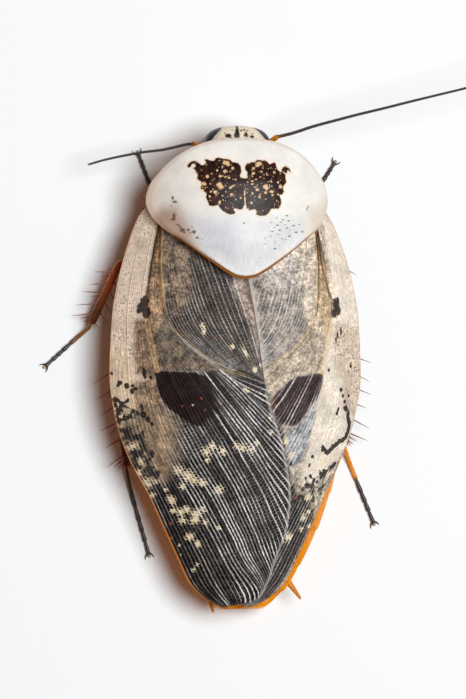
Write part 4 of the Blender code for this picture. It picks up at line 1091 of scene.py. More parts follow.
SHIELD_MARKS = table(
    (-462, 1120, 8, 12), (-450, 1095, 14, 9), (-455, 998, 8, 24), (-460, 980, 15, 9), (-408, 910, 16, 12),
    (-372, 912, 8, 10), (-338, 898, 12, 12), (-362, 890, 6, 6), (-21, 954, 6, 6), (432, 1066, 5, 10),
    (422, 1050, 9, 5), (272, 1005, 12, 5), (242, 978, 10, 4), (284, 972, 9, 5), (205, 942, 14, 4),
    (220, 910, 11, 5), (170, 902, 14, 4), (272, 925, 13, 4), (320, 940, 11, 5), (338, 898, 13, 5),
    (385, 902, 12, 5), (290, 872, 12, 5), (235, 855, 10, 4), (362, 950, 9, 4), (190, 790, 12, 5), (120, 860, 10, 3),
    (90, 730, 8, 3), (-435, 945, 10, 6), (-420, 930, 6, 10), (-395, 895, 8, 6), (-350, 930, 5, 8),
    (-470, 1070, 6, 5), (-442, 1010, 5, 5), (-320, 860, 10, 8), (-290, 850, 5, 5), (200, 990, 10, 3),
    (230, 962, 12, 3), (160, 960, 10, 3), (260, 945, 10, 3), (185, 925, 10, 3), (295, 910, 10, 3),
    (210, 885, 12, 3), (155, 870, 12, 3), (260, 850, 12, 3), (190, 835, 10, 3), (120, 820, 10, 3),
    (220, 810, 10, 3),
)
# Ground colours of the shield: the first one, and zones of outline, softness and colour laid over it
SHIELD_BASE = tone(238, 233, 226)
SHIELD_ZONES = (
    (((-4.0, 9.8), (4.2, 9.9), (4.6, 8.9), (0.0, 5.6), (-4.4, 8.4)), 2.0, tone(220, 220, 220)),
    (((-6.4, 10.6), (-4.4, 10.6), (-3.6, 9.2), (-2.9, 7.3), (-4.5, 7.6), (-6.4, 9.0)), 1.3, tone(188, 160, 142)),
    (((6.3, 11.4), (4.6, 10.6), (4.2, 9.2), (4.2, 8.0), (6.4, 9.2)), 1.2, tone(228, 214, 198)),
    # The warm zone along the left front edge: its light tone is painted light, standing in for light falling on that
    # side
    (((-6.6, 15.4), (-5.3, 13.2), (-5.4, 11.0), (-5.7, 9.6), (-6.6, 9.6)), 0.8, tone(248, 230, 214)),
    (((-3.4, 9.7), (-1.2, 9.7), (-0.5, 8.4), (-0.9, 7.0), (-2.6, 7.6)), 1.4, tone(203, 202, 206)),
)


def shield_z(x, y):
    """Height of the shield: the ridge's, less a drop that grows with a power of the share of the way out."""
    share = np.clip(np.abs(x) / SHIELD_REACH, 0.0, 1.0)
    return SHIELD_RIDGE_Z(y) - SHIELD_DROP * share**SHIELD_POWER


def shield(material):
    """The shield as rings round its middle: out over the top, round the rim and back along the underside.

    A point lies its ring's share of the way from the middle to the outline; the top bends down near the
    rim, and the underside lies a thickness lower that thins towards the rim."""
    half = np.array(SHIELD_OUTLINE, float)
    fine = np.linspace(0, len(half) - 1, SHIELD_SIDES // 2 + 1)
    right = hermite(np.arange(len(half)), half.T, fine).T
    outline = np.concatenate([right, right[-2:0:-1] * (-1, 1)])
    middle = np.array([0.0, SHIELD_MIDDLE_Y])

    top_share = np.concatenate([np.linspace(0.012, 0.9, 88), 0.9 + 0.1 * np.sin(np.linspace(0, np.pi / 2, 14)[1:])])
    under_share = np.concatenate([[0.998, 0.985, 0.96], np.linspace(0.92, 0.02, 22)])
    share = np.concatenate([top_share, under_share])[:, None]
    plan = middle + share[..., None] * (outline - middle)
    x, y = plan[..., 0], plan[..., 1]
    bend = 0.16 * smooth_step((share - 0.93) / 0.07) ** 1.5
    bead = 0.02 * bump(share - 0.955, 0.016)
    thick = 0.16 + 0.34 * smooth_step((1 - share) / 0.18)
    below = np.arange(len(share))[:, None] >= len(top_share)
    z = shield_z(x, y) - bend + np.where(below, -thick, bead - 0.05)
    shapes = Shapes()
    shapes.tube(np.stack([x, y, z], -1))

    x, y = shapes.all_points()[:, :2].T
    ground = lay_zones(x, y, np.array(SHIELD_BASE), SHIELD_ZONES)
    marking = np.clip(0.5 + inside_by(x, y, MASK) / 0.7, 0.0, 1.0)
    to_rim = line_distance(x, y, outline)
    behind = smooth_step((9.6 - y) / 1.2)
    rim_width = 0.09 + 0.09 * smooth_step((8.2 - y) / 2.0)
    rim = behind * smooth_step((rim_width - to_rim) / 0.05 + 0.5)
    streaky = smooth_step((10.2 - y) / 1.6) * smooth_step((4.8 - np.abs(x)) / 1.4)
    orange = 0.4 * (1 - behind) * smooth_step((0.08 - to_rim) / 0.05 + 0.5)
    specks, flecks = (spot_field(x, y, spots) for spots in (MASK_SPECKS, SHIELD_MARKS))
    turn = np.arctan2(x, SHIELD_MIDDLE_Y + 4.5 - y)
    reach = np.hypot(x, SHIELD_MIDDLE_Y + 4.5 - y)

    mesh = make_piece("shield", shapes, material, ["pronotum"])
    store_tones(mesh, "ground", np.concatenate([ground, np.ones((len(x), 1))], -1))
    store_tones(mesh, "marks", np.stack([marking, specks, flecks, rim], -1))
    store_tones(mesh, "trim", np.stack([streaky, orange, 0 * x, 0 * x], -1))
    store_grid(mesh, "round_grid", np.stack([turn, reach], -1))


# ---- trunk

TRUNK_HALF_WIDTH = through(
    (-15.75, 1.32), (-15.3, 1.99), (-14.1, 3.04), (-12.7, 3.83), (-10.5, 4.92), (-8.1, 5.88), (-5.5, 6.75),
    (-2.0, 7.1), (1.0, 6.25), (2.9, 5.45), (3.4, 5.25), (6.0, 5.15), (8.5, 4.55), (10.0, 3.7), (10.8, 2.5),
    (11.4, 2.85), (12.5, 2.55), (13.1, 1.8), (13.6, 1.15),
)
TRUNK_BEND = through((-15.8, 0.76), (-12.0, 0.82), (-8.1, 0.7), (-5.0, 0.28), (2.9, 0.0))
ABDOMEN_MARGIN_TOP = through((-15.8, 2.3), (-14.0, 2.52), (-10.0, 2.7), (2.9, 3.05))
TRUNK_MARGIN_BASE = through(
    (-15.8, 1.95), (-12.0, 2.3), (-8.0, 2.4), (-2.0, 2.65), (2.9, 2.75), (3.4, 3.3), (10.0, 3.35), (10.8, 3.9),
    (13.6, 4.2),
)
TRUNK_KEEL_Z = through(
    (-15.8, 1.65), (-12.0, 1.45), (-7.0, 1.5), (-3.5, 2.0), (-2.2, 2.6), (2.9, 2.75), (3.4, 2.8), (10.0, 2.8),
    (10.8, 3.1), (13.1, 3.1), (13.6, 3.4),
)
SEGMENT_EDGES = np.array((3.0, 1.2, -1.0, -3.4, -5.8, -8.1, -10.5, -12.9, -14.6, -15.9))
SEGMENT_STEP = 0.12
TRUNK_END_Y = -15.74


def segment_flare(y):
    """Grows along each segment from 0 at its front edge to 1 at its rear edge, and falls back at the next."""
    k = np.clip(len(SEGMENT_EDGES) - 1 - np.searchsorted(SEGMENT_EDGES[::-1], y), 0, len(SEGMENT_EDGES) - 2)
    front, rear = SEGMENT_EDGES[k], SEGMENT_EDGES[k + 1]
    return np.clip((front - y) / (front - rear), 0.0, 1.0) * (y < SEGMENT_EDGES[0])


def trunk(material):
    """Thorax and abdomen as one closed skin: from side to side at each y, between a back and a belly.

    The back is the lower of the room under the wings and a roof that falls to the margin; the belly sinks
    from margin to keel by a power of the share of the way in, and each plate flares to a lip at its rear."""
    y = np.concatenate([np.linspace(13.6, 3.1, 90)] + [
        front + (rear - front) * np.concatenate([np.linspace(0.0, 0.93, 13), [0.97, 0.995]])
        for front, rear in zip(SEGMENT_EDGES[:-1], np.minimum(SEGMENT_EDGES[1:], 9))
    ])
    y = np.unique(np.maximum(y, TRUNK_END_Y))[::-1][:, None]
    share = np.sin(np.pi / 2 * np.linspace(-1, 1, 73))[None, :]
    flare = segment_flare(y)
    half = TRUNK_HALF_WIDTH(y) + 0.07 * (flare - 0.5) * (y < 3.0)
    x = TRUNK_BEND(y) + share * half
    out = np.abs(share)

    shield_roof = shield_z(x, y) - CAD_SHIELD_THICKNESS - BODY_CLEARANCE - 1.3 * out**4
    wing_roof = under_wings_z(x, y) - 0.25 * out**4
    margin = ABDOMEN_MARGIN_TOP(y)
    roof = under_wings_z(np.minimum(np.abs(x), WING_HALF_WIDTH(y) - 0.3), y)
    abdomen_roof = np.minimum(roof, margin + np.maximum(0.0, roof - margin) * smooth_step((1 - out) / 0.25))
    top = shield_roof + (wing_roof - shield_roof) * smooth_step((11.0 - y) / 1.0)
    top = top + (abdomen_roof - top) * smooth_step((3.6 - y) / 0.7)
    top = top - 1.3 * smooth_step((y - 12.9) / 0.7)
    keel, base_margin = TRUNK_KEEL_Z(y), TRUNK_MARGIN_BASE(y)
    base = keel + (base_margin - keel) * out**2.4 - SEGMENT_STEP * (flare - 0.5) * (1 - out) * (y < 3.0)
    top = np.maximum(top, base + 0.06)
    rear_lip = bump(flare - 1.0, 0.12) * (y < 3.0)
    darkness = 0.55 * rear_lip * (out < 0.9) + 0.25 * bump(out, 0.12) * (y < 3.0) + 0.3 * (y > 3.0)
    tones = four_tones(np.broadcast_to(darkness, x.shape), speckle=0.5)
    y = np.broadcast_to(y, x.shape)
    shapes = Shapes()
    shapes.plate(np.stack([x, y, top], -1), np.stack([x, y, base], -1), 1, tones)
    make_piece("trunk", shapes, material, ["prothorax", "pterothorax", "abdomen"])


# ---- head

HEAD_SLICES = np.array((
    (5.46, 14.75, 0.45, 0.7), (5.3, 14.75, 0.9, 1.35), (5.0, 14.8, 1.1, 1.85), (4.6, 14.77, 1.22, 2.1),
    (4.2, 14.75, 1.24, 2.13), (3.8, 14.7, 1.18, 2.0), (3.4, 14.6, 1.08, 1.75), (2.9, 14.35, 0.93, 1.45),
    (2.5, 14.05, 0.78, 1.18), (2.15, 13.85, 0.6, 0.9), (1.9, 13.75, 0.36, 0.55),
))
HEAD_MIDDLE, HEAD_DEPTH, HEAD_WIDTH = (through(*zip(HEAD_SLICES[:, 0], HEAD_SLICES[:, k])) for k in (1, 2, 3))
HEAD_TOP, HEAD_BOTTOM = 5.46, 1.92
# Where the eyes lie on the head: the turn from the front to the side and the height, and their half sizes
EYE_TURN, EYE_Z = math.radians(62), 4.36
EYE_HALF_TURN, EYE_HALF_HEIGHT = math.radians(40), 0.76
VERTEX_SPOTS = table(
    (-76, 1530, 20, 14), (-20, 1532, 20, 20), (-17, 1556, 13, 24), (-14, 1580, 8, 18), (40, 1532, 15, 14),
    (42, 1550, 7, 9), (80, 1524, 15, 10), (12, 1566, 6, 6), (32, 1570, 5, 5), (54, 1566, 5, 5), (-95, 1545, 5, 5),
    (-48, 1566, 5, 4), (86, 1546, 6, 5),
)
# Knots of the right jaw feeler, of the right lip feeler and of the right jaw
PALP_PATH = ((0.93, 15.12, 2.14), (1.12, 15.4, 1.68), (1.05, 15.4, 1.2), (0.8, 15.2, 0.82))
LIP_PALP_PATH = ((0.42, 13.9, 2.05), (0.6, 14.2, 1.72), (0.62, 14.42, 1.4))
JAW_PATH = ((0.62, 14.3, 2.5), (0.5, 14.42, 2.2), (0.12, 14.36, 2.02))


def ball(shapes, centre, radii, rows, sides, tones):
    """A ball stretched to three radii: x and y go round with the cosine and sine of the turn times the sine
    of the fall, and z goes down with the cosine of the fall."""
    fall = np.linspace(0.04, np.pi - 0.04, rows)[:, None]
    turn = 2 * np.pi * np.arange(sides)[None, :] / sides
    points = np.stack([np.sin(fall) * np.cos(turn), np.sin(fall) * np.sin(turn), np.cos(fall) + 0 * turn], -1)
    shapes.tube(np.array(centre) + points * np.array(radii), tones)


def head_point(turn, z):
    """A point of the head's surface: the slice's rounded outline at the height z, whose sine and cosine are
    raised to a power, drawn in to a dome at the crown and at the lip."""
    crown = np.sqrt(np.clip(1 - ((z - 5.2) / 0.27).clip(0, 1) ** 2, 0.02, 1))
    lip = np.sqrt(np.clip(1 - ((2.12 - z) / 0.21).clip(0, 1) ** 2, 0.02, 1))
    sine, cosine = np.sin(turn), np.cos(turn)
    held = np.clip(z, 1.9, 5.3)
    x = HEAD_WIDTH(held) * crown * lip * np.sign(sine) * np.abs(sine) ** 0.92
    y = HEAD_MIDDLE(z) + HEAD_DEPTH(held) * crown * lip * np.sign(cosine) * np.abs(cosine) ** 0.92
    return np.stack(np.broadcast_arrays(x, y, z), -1)


def head_capsule(material):
    """The head's surface from crown to lip, with the face's grooves pressed in from the front and a dark ring round
    each eye."""
    z = HEAD_TOP - (HEAD_TOP - HEAD_BOTTOM) * np.linspace(0.0, 1.0, 120)[:, None]
    turn = 2 * np.pi * np.arange(144)[None, :] / 144
    points = head_point(turn, z)
    x, y, z = points[..., 0], points[..., 1], points[..., 2]
    cosine = np.cos(turn)
    front = smooth_step((cosine - 0.15) / 0.5)
    lip_line = bump(z - 2.5 + 0.1 * np.cos(x * 1.4), 0.035)
    brow_line = bump(z - 3.2 + 0.2 * x**2, 0.03)
    jaw_line = bump(np.abs(x) - (0.75 - 0.22 * (2.6 - z)), 0.035) * (z < 2.6)
    mouth_line = bump(z - 2.2 - 0.08 * x**2, 0.04)
    y = y - front * (0.07 * lip_line + 0.03 * brow_line + 0.07 * jaw_line + 0.09 * mouth_line)
    away = np.minimum(turn, 2 * np.pi - turn)
    eye_reach = np.hypot((away - EYE_TURN) / EYE_HALF_TURN, (z - EYE_Z) / EYE_HALF_HEIGHT)
    spots = spot_field(x, y, VERTEX_SPOTS) * (z > 4.4)
    front_rim = bump(z - 4.05, 0.12) * smooth_step((cosine - 0.75) / 0.15)
    darkness = np.clip(
        1.1 * smooth_step((spots - 0.42) / 0.12) + (0.5 * lip_line + 0.5 * jaw_line + 0.8 * mouth_line) * front
        + 0.45 * smooth_step((2.9 - z) / 0.5) + 0.45 * smooth_step((0.2 - cosine) / 0.6)
        + 0.35 * bump(eye_reach - 1.04, 0.05) + 0.9 * front_rim, 0, 1,
    )
    tones = four_tones(darkness, speckle=0.35 * smooth_step((4.2 - z) / 0.8))
    shapes = Shapes()
    shapes.tube(np.stack([x, y, z], -1), tones)
    make_piece("head_capsule", shapes, material, ["head", "mouthparts"])


def eyes(material):
    """Each eye as a shallow lens that lies on the head: rings round its middle in turn and height, raised
    off the surface by a bulge that falls with the square of the share of the way out, and closed below."""
    shapes = Shapes()
    reach = np.concatenate([np.linspace(0.01, 1.0, 34), np.linspace(0.97, 0.02, 10)])[:, None]
    inner = (np.arange(len(reach)) >= 34)[:, None]
    spin = 2 * np.pi * np.arange(96)[None, :] / 96
    rise = np.where(inner, -0.16, 0.07 * (1 - reach**2) + 0.015 - 0.07 * smooth_step((reach - 0.94) / 0.06))
    for side in (LEFT, RIGHT):
        notch = 1 - 0.12 * bump(np.angle(np.exp(1j * (spin - 3.5))), 0.6)
        turn = side * (EYE_TURN + EYE_HALF_TURN * reach * notch * np.cos(spin))
        z = EYE_Z + EYE_HALF_HEIGHT * reach * notch * np.sin(spin)
        round_it = head_point(turn + 0.01, z) - head_point(turn - 0.01, z)
        up_it = head_point(turn, z + 0.01) - head_point(turn, z - 0.01)
        outward = unit(np.cross(up_it, round_it))
        shapes.tube(head_point(turn, z) + outward * rise[..., None])
    make_piece("eyes", shapes, material, ["eye_left", "eye_right"])


def jointed(shapes, path, radii, breaks):
    """A jointed stalk: the radius swells between breaks and is pinched by a narrow bell at each one."""
    share = np.linspace(0.0, 1.0, len(path))
    gap = np.abs(share[:, None] - np.array(breaks)).min(1)
    radius = radii * (1 - 0.28 * bump(gap, 0.018))
    tones = four_tones(0.4 * bump(gap, 0.05), speckle=0.3)
    shapes.tube(rings_along(path, radius, radius, 14, up=(0.3, 0.2, 0.9)), tones)


def mouthparts(material):
    """Jaw feelers of five joints, lip feelers of three, and the two jaws behind the lip."""
    shapes = Shapes()
    for side in (LEFT, RIGHT):
        palp, lip_palp, jaw = (np.array(path) * (side, 1.0, 1.0) for path in (PALP_PATH, LIP_PALP_PATH, JAW_PATH))
        share = np.linspace(0, 1, 90)
        radius = 0.15 + 0.06 * smooth_step((share - 0.55) / 0.35) - 0.1 * smooth_step((share - 0.93) / 0.07)
        jointed(shapes, curve_points(palp, 90), radius, (0.1, 0.22, 0.48, 0.72))
        share = np.linspace(0, 1, 60)
        radius = 0.09 + 0.03 * smooth_step((share - 0.5) / 0.4) - 0.06 * smooth_step((share - 0.92) / 0.08)
        jointed(shapes, curve_points(lip_palp, 60), radius, (0.3, 0.62))
        radius = np.linspace(0.3, 0.1, 24)
        shapes.tube(rings_along(curve_points(jaw, 24), radius * 0.7, radius, 14), four_tones(0.75))
    make_piece("mouthparts", shapes, material, ["palp_left", "palp_right"])


# ---- feelers

SCAPES = {
    "left": ((-1.6, 14.5, 2.8), (-2.36, 14.71, 3.2)),
    "right": ((1.6, 14.5, 2.85), (2.48, 15.06, 3.43)),
}
FLAGELLA = {
    "left": (
        (-2.68, 14.83, 3.52), (-3.2, 14.78, 3.7), (-3.9, 14.62, 3.8), (-4.9, 14.4, 3.76), (-6.1, 14.25, 3.64),
        (-7.3, 14.03, 3.5), (-8.7, 13.72, 3.3), (-9.7, 13.42, 3.1),
    ),
    "right": (
        (2.8, 15.3, 3.72), (3.8, 15.56, 4.28), (4.97, 15.96, 4.8), (6.31, 16.33, 5.1), (7.92, 16.76, 5.4),
        (9.64, 17.18, 5.6), (11.36, 17.62, 5.75), (13.1, 18.05, 5.9), (15.0, 18.52, 6.0), (17.3, 19.2, 6.05),
        (19.4, 19.95, 6.0),
    ),
}
CERCI = {
    "left": ((-1.7, -13.6, 1.85), (-1.45, -14.6, 1.85), (-1.12, -16.0, 1.95)),
    "right": ((3.1, -12.75, 1.85), (3.77, -13.75, 1.85), (4.78, -15.15, 1.95)),
}
SCAPE_SWELL = through((-0.12, 0.12), (0.02, 0.17), (0.12, 0.23), (0.55, 0.26), (0.9, 0.23), (1.0, 0.16))
PEDICEL_SWELL = through((-0.1, 0.12), (0.2, 0.17), (0.8, 0.18), (1.25, 0.13))
# Rings of each long feeler, and the share of the full radius at each of the steps of a ring
FEELER_RINGS = {"left": 52, "right": 118}
RING_SWELL = np.array((0.72, 1.0, 1.1, 1.12, 1.0))
TAIL_RINGS, TAIL_RING_STEPS = 12, 6


def feeler_bases(material):
    """Scape and pedicel of each feeler: swollen stalks with a pinched root."""
    shapes = Shapes()
    for word in ("left", "right"):
        start, end = (np.array(p, float) for p in SCAPES[word])
        share = np.linspace(-0.12, 1.0, 40)
        path = start + share[:, None] * (end - start)
        dark = 0.5 * bump(share - 1.0, 0.12) + 0.3 * bump(share, 0.1) + 0.95 * (word == "left")
        swell = SCAPE_SWELL(share)
        shapes.tube(rings_along(path, swell, swell, 18), four_tones(dark, speckle=0.3))
        share = np.linspace(-0.1, 1.25, 20)
        path = end + share[:, None] * (np.array(FLAGELLA[word][0]) - end)
        swell = PEDICEL_SWELL(share)
        shapes.tube(rings_along(path, swell, swell, 14), four_tones(0.35, speckle=0.3))
    make_piece("feeler_bases", shapes, material, ["scape_left", "scape_right"])


def flagella(material):
    """Long whips of rings: the radius thins to the tip and swells once in each ring."""
    shapes = Shapes()
    for word, rings in FEELER_RINGS.items():
        steps = len(RING_SWELL)
        count = rings * steps + 1
        share = np.linspace(0.0, 1.0, count)
        phase = np.arange(count) % steps
        radius = 0.115 - 0.045 * share**0.8 if word == "right" else 0.1 - 0.025 * share
        radius = radius * RING_SWELL[phase]
        radius[-3:] *= (0.9, 0.7, 0.35)
        near = smooth_step((0.06 - share) / 0.06)
        tip = smooth_step((share - 0.97) / 0.03) * (word == "left")
        tones = four_tones(1 - 0.5 * near, np.maximum(0.7 * (phase == 0), tip))
        shapes.tube(rings_along(curve_points(FLAGELLA[word], count), radius, radius, 10), tones)
    make_piece("flagella", shapes, material, ["flagellum_left", "flagellum_right"])


def tail_feelers(material):
    """Ringed tail feelers: a flattened spindle whose radius dips at the end of each of its rings."""
    shapes = Shapes()
    for word in ("left", "right"):
        count = TAIL_RINGS * TAIL_RING_STEPS + 1
        share = np.linspace(0.0, 1.0, count)
        ring_end = np.arange(count) % TAIL_RING_STEPS == 0
        radius = 0.31 * np.clip(1.15 - share, 0.0, 1.0) ** 0.75 * (1 - 0.12 * ring_end)
        radius = np.minimum(radius, 0.28) * np.sqrt(np.clip((1.0 - share) / 0.04 + 0.1, 0, 1))
        tones = four_tones(0.35 * ring_end + 0.35 * share, speckle=0.2)
        shapes.tube(rings_along(curve_points(CERCI[word], count), radius, radius * 0.75, 18), tones)
    make_piece("tail_feelers", shapes, material, ["cercus_left", "cercus_right"])


# ---- legs

SOLE_Z = 0.2
JOINT_GAP = 0.37
LEGS = {
    "foreleg_left": (
        (-1.15, 11.9, 2.3), (-2.0, 8.9, 1.75), (-4.8, 9.2, 2.2), (-4.9, 11.5, 0.72), (-5.82, 14.3, SOLE_Z),
    ),
    "foreleg_right": (
        (1.15, 11.9, 2.3), (2.0, 8.9, 1.75), (5.0, 9.3, 2.2), (6.0, 11.4, 0.72), (7.45, 13.75, SOLE_Z),
    ),
    "midleg_left": (
        (-1.55, 7.6, 2.0), (-3.4, 4.2, 1.75), (-6.75, 6.7, 2.25), (-9.1, 3.0, 0.75), (-12.0, 0.25, SOLE_Z),
    ),
    "midleg_right": (
        (1.55, 7.6, 2.0), (3.4, 4.2, 1.75), (6.5, 7.6, 2.2), (6.75, 3.2, 0.75), (7.2, -0.8, SOLE_Z),
    ),
    "hindleg_left": (
        (-1.7, 3.0, 2.0), (-3.4, -2.1, 1.72), (-6.85, 1.3, 1.95), (-6.75, -6.4, 0.8), (-5.1, -12.2, SOLE_Z),
    ),
    "hindleg_right": (
        (1.7, 3.0, 2.0), (3.4, -1.9, 1.72), (7.1, 2.1, 1.95), (8.0, -4.9, 0.8), (10.1, -10.2, SOLE_Z),
    ),
}
# Half widths and half depths at the thickest place, groups of tibia spines and their length
LEG_SIZES = {
    "foreleg": {"coxa": (0.85, 0.55), "femur": (0.48, 0.38), "tibia": (0.26, 0.24), "rows": 3, "spine": 0.95},
    "midleg": {"coxa": (1.15, 0.5), "femur": (0.56, 0.4), "tibia": (0.28, 0.26), "rows": 5, "spine": 1.55},
    "hindleg": {"coxa": (1.3, 0.5), "femur": (0.6, 0.4), "tibia": (0.3, 0.28), "rows": 6, "spine": 1.75},
}
# How far the first joint of a foot is as warm in tone as the leg
WARM_FEET = {"hindleg_right_foot": 1.0, "foreleg_right_foot": 0.4, "midleg_left_foot": 0.4}
SPURS = ((0.95, 0.1), (-0.95, 0.1), (0.2, 1.0), (0.5, 0.6), (-0.5, 0.5))
COXA_SWELL = through((0.0, 0.6), (0.12, 0.9), (0.35, 1.0), (0.65, 0.86), (0.9, 0.6), (1.0, 0.42))
FEMUR_SWELL = through((0.0, 0.5), (0.1, 0.78), (0.35, 1.0), (0.62, 0.95), (0.85, 0.74), (0.97, 0.62), (1.0, 0.45))
TIBIA_SWELL = through((0.0, 0.62), (0.06, 0.95), (0.25, 0.9), (0.5, 0.95), (0.88, 1.06), (0.97, 0.95), (1.0, 0.7))


def turned(vector, axis, angle):
    """The vector turned about an axis square to it."""
    return vector * math.cos(angle) + np.cross(axis, vector) * math.sin(angle)


def bent_path(joint, came, end, radius, count, lead):
    """Points that set out a lead before the joint, on the way that the last piece came, go round an arc of
    the given radius until they head for the end, and then straight to it."""
    start = joint + came * JOINT_GAP / 2
    leaving, arc = unit(end - start), [start]
    for _ in range(4):
        angle = math.acos(min(1.0, float(came @ leaving)))
        if angle < 0.02:
            break
        axis = unit(np.cross(came, leaving))
        centre = start + np.cross(axis, came) * radius
        steps = max(1, round(angle / 0.12))
        arc = [centre + turned(start - centre, axis, angle * k / steps) for k in range(steps + 1)]
        leaving = unit(end - arc[-1])
    run_up = [start - came * lead]
    straight = [arc[-1] + (end - arc[-1]) * share for share in np.linspace(0, 1, count)[1:]]
    return np.array(run_up + arc + straight), leaving


def limb(shapes, joint, came, end, sizes, swell, sides, bend, darkness, lead=0.3):
    """One leg piece: rings whose half sizes follow a swelling profile of the share of the length."""
    path, way = bent_path(joint, came, end, bend, 40, lead)
    share = lengths_along(path)
    share = share / share[-1]
    swelling = swell(share)
    rings = rings_along(path, sizes[0] * swelling, sizes[1] * swelling, sides)
    shapes.tube(rings, four_tones(darkness(share), speckle=0.5))
    return path, way


def thorn(shapes, root, direction, length, radius=0.056):
    """A spine: seven-sided rings that start as a socket and narrow to a tip."""
    share = np.array([0.0, 0.05, 0.1, 0.14, 0.45, 0.8, 1.0])
    path = np.array(root) + unit(direction) * (share * length)[:, None]
    radii = radius * np.array([1.7, 1.65, 1.25, 1.0, 0.78, 0.42, 0.12])
    shapes.tube(rings_along(path, radii, radii, 7, up=(0.13, 0.31, 0.94)), four_tones(0.3 + 0.7 * share))


def leg(name, leg_material, foot_material):
    """Coxa, trochanter, femur and spiny tibia as one piece, and the foot as another."""
    kind, word = name.split("_")
    side = LEFT if word == "left" else RIGHT
    sizes = LEG_SIZES[kind]
    hip, turn, knee, ankle, toe = (np.array(joint, float) for joint in LEGS[name])
    shapes = Shapes()

    way = unit(turn - hip)
    _, way = limb(
        shapes, hip, way, turn - way * JOINT_GAP / 4, sizes["coxa"], COXA_SWELL, 28, 1.0,
        lambda s: 0.35 * bump(s - 1.0, 0.1) + 0.12, 0.0,
    )
    ball(shapes, turn, (0.36, 0.36, 0.3), 14, 20, four_tones(0.45, speckle=0.3))
    femur_end = knee - unit(knee - turn) * JOINT_GAP / 4
    path, way = limb(
        shapes, turn, way, femur_end, sizes["femur"], FEMUR_SWELL, 24, 0.5,
        lambda s: 0.25 * bump(s - 1.0, 0.1) + 0.1,
    )
    outward = unit(np.cross(way, (0, 0, 1)) * side)
    for back in np.linspace(0.7, 2.6, 5):
        thorn(shapes, path[-1] - way * back - (0, 0, 0.1), outward * -0.9 + way * 0.5, 0.8, 0.06)
    thorn(shapes, path[-1] - way * 0.25 + (0, 0, 0.1), way * 0.9 + np.array((0, 0, 0.3)), 0.6, 0.06)

    tibia_end = ankle - unit(ankle - knee) * JOINT_GAP / 4
    path, way = limb(
        shapes, knee, way, tibia_end, sizes["tibia"], TIBIA_SWELL, 20, 0.42,
        lambda s: 0.25 * bump(s, 0.06) + 0.12 + 0.75 * smooth_step((s - 0.3) / 0.65),
    )
    shaft = np.linalg.norm(path[-1] - knee)
    outward = unit(np.cross(way, (0, 0, 1)))
    outward = outward if outward[0] * side > 0 else -outward
    lift = unit(np.cross(outward, way))
    lift = lift if lift[2] > 0 else -lift
    rng = np.random.default_rng(sum(map(ord, name)))
    for k, back in enumerate(np.linspace(0.75, shaft * 0.84, sizes["rows"])):
        place = path[-1] - way * back
        sway = rng.uniform(-0.12, 0.12, 6)
        long = sizes["spine"] * (0.95 + sway[3])
        thorn(shapes, place, outward + way * (0.42 + sway[0]) + lift * (0.12 + sway[1]), long)
        if k % 2 == 0:
            lower = outward * 0.9 + way * (0.6 + sway[1]) - lift * (0.25 + sway[2])
            thorn(shapes, place + way * 0.22, lower, long * 0.6)
        thorn(shapes, place - way * 0.3, -outward * 0.8 + way * (0.6 + sway[2]) + lift * 0.1, long * 0.7, 0.05)
        if k % 2 == 0:
            thorn(shapes, place - way * 0.1, lift + way * (0.6 + sway[0]) + outward * 0.35, long * 0.6, 0.05)
    for swing, rise in SPURS:
        spur = way * 0.75 + outward * swing + lift * rise * 0.8
        thorn(shapes, path[-1] - way * 0.3, spur, sizes["spine"] * 0.42, 0.06)
    nodes = [f"{name}_{part}" for part in ("coxa", "femur", "tibia")]
    make_piece(name, shapes, leg_material, nodes)
    foot(name + "_foot", ankle, way, toe, foot_material, name + "_tarsus")


def foot(name, ankle, came, toe, material, node):
    """Five foot joints laid on the ground, each swelling to its end over a pad, then a lobe and two claws."""
    shapes = Shapes()
    joints = (0.0, 0.46, 0.62, 0.74, 0.85, 1.0)
    path, way = bent_path(ankle, came, toe, 0.35, 120, 0.25)
    share = lengths_along(path)
    share = share / share[-1]
    path[:, 2] += (SOLE_Z * 0.8 - path[:, 2]) * smooth_step(share / 0.38)
    for k, (first, last) in enumerate(zip(joints, joints[1:])):
        places = np.linspace(first, last, 22)
        part = np.stack([np.interp(places, share, path[:, axis]) for axis in range(3)], -1)
        at = np.linspace(0, 1, 22)
        final = last == joints[-1]
        radius = 0.115 + 0.032 * smooth_step(at / 0.9) - 0.035 * bump(at, 0.08) - 0.03 * bump(at - 1, 0.05)
        radius = radius * (0.9 if final else 1.0)
        warm = WARM_FEET.get(name, 0.0) * (k == 0)
        darkness = (0.55 + 0.35 * at) * (1 - warm * (1 - bump(at - 1, 0.08)))
        rings = rings_along(part, radius, radius * 1.05, 14, floor=0.0)
        shapes.tube(rings, four_tones(darkness, speckle=0.3, warm=warm))
        if not final:
            ball(shapes, part[-3] - (0, 0, 0.09), (0.08, 0.08, 0.05), 8, 12, four_tones(0.2, 0.9))
    beside = unit(np.cross(way, (0, 0, 1)))
    tip = path[-1] - way * 0.12
    ball(shapes, tip + way * 0.22 - (0, 0, 0.04), (0.11, 0.11, 0.08), 10, 14, four_tones(0.2, 0.9))
    for swing in (-1.0, 1.0):
        s = np.linspace(0.0, 1.0, 9)[:, None]
        claw = tip + (way * 0.42 * s + beside * swing * (0.06 + 0.48 * s - 0.24 * s**2)) + np.array((0, 0, 0.04)) * s
        claw[:, 2] -= 0.12 * s[:, 0] ** 2
        radii = 0.055 * (1 - 0.88 * s[:, 0] ** 1.4)
        claw[:, 2] = np.maximum(claw[:, 2], radii)
        shapes.tube(rings_along(claw, radii, radii, 8), four_tones(0.9))
    make_piece(name, shapes, material, [node])


# ---- settings


def length_property(name, description, default, top):
    return bpy.props.FloatProperty(
        name=name, description=description, default=default, min=0.0, max=top, unit="LENGTH", precision=6
    )


def colour_property(name, description, default):
    return bpy.props.FloatVectorProperty(
        name=name, description=description, default=default, size=3, min=0.0, max=1.0, subtype="COLOR"
    )


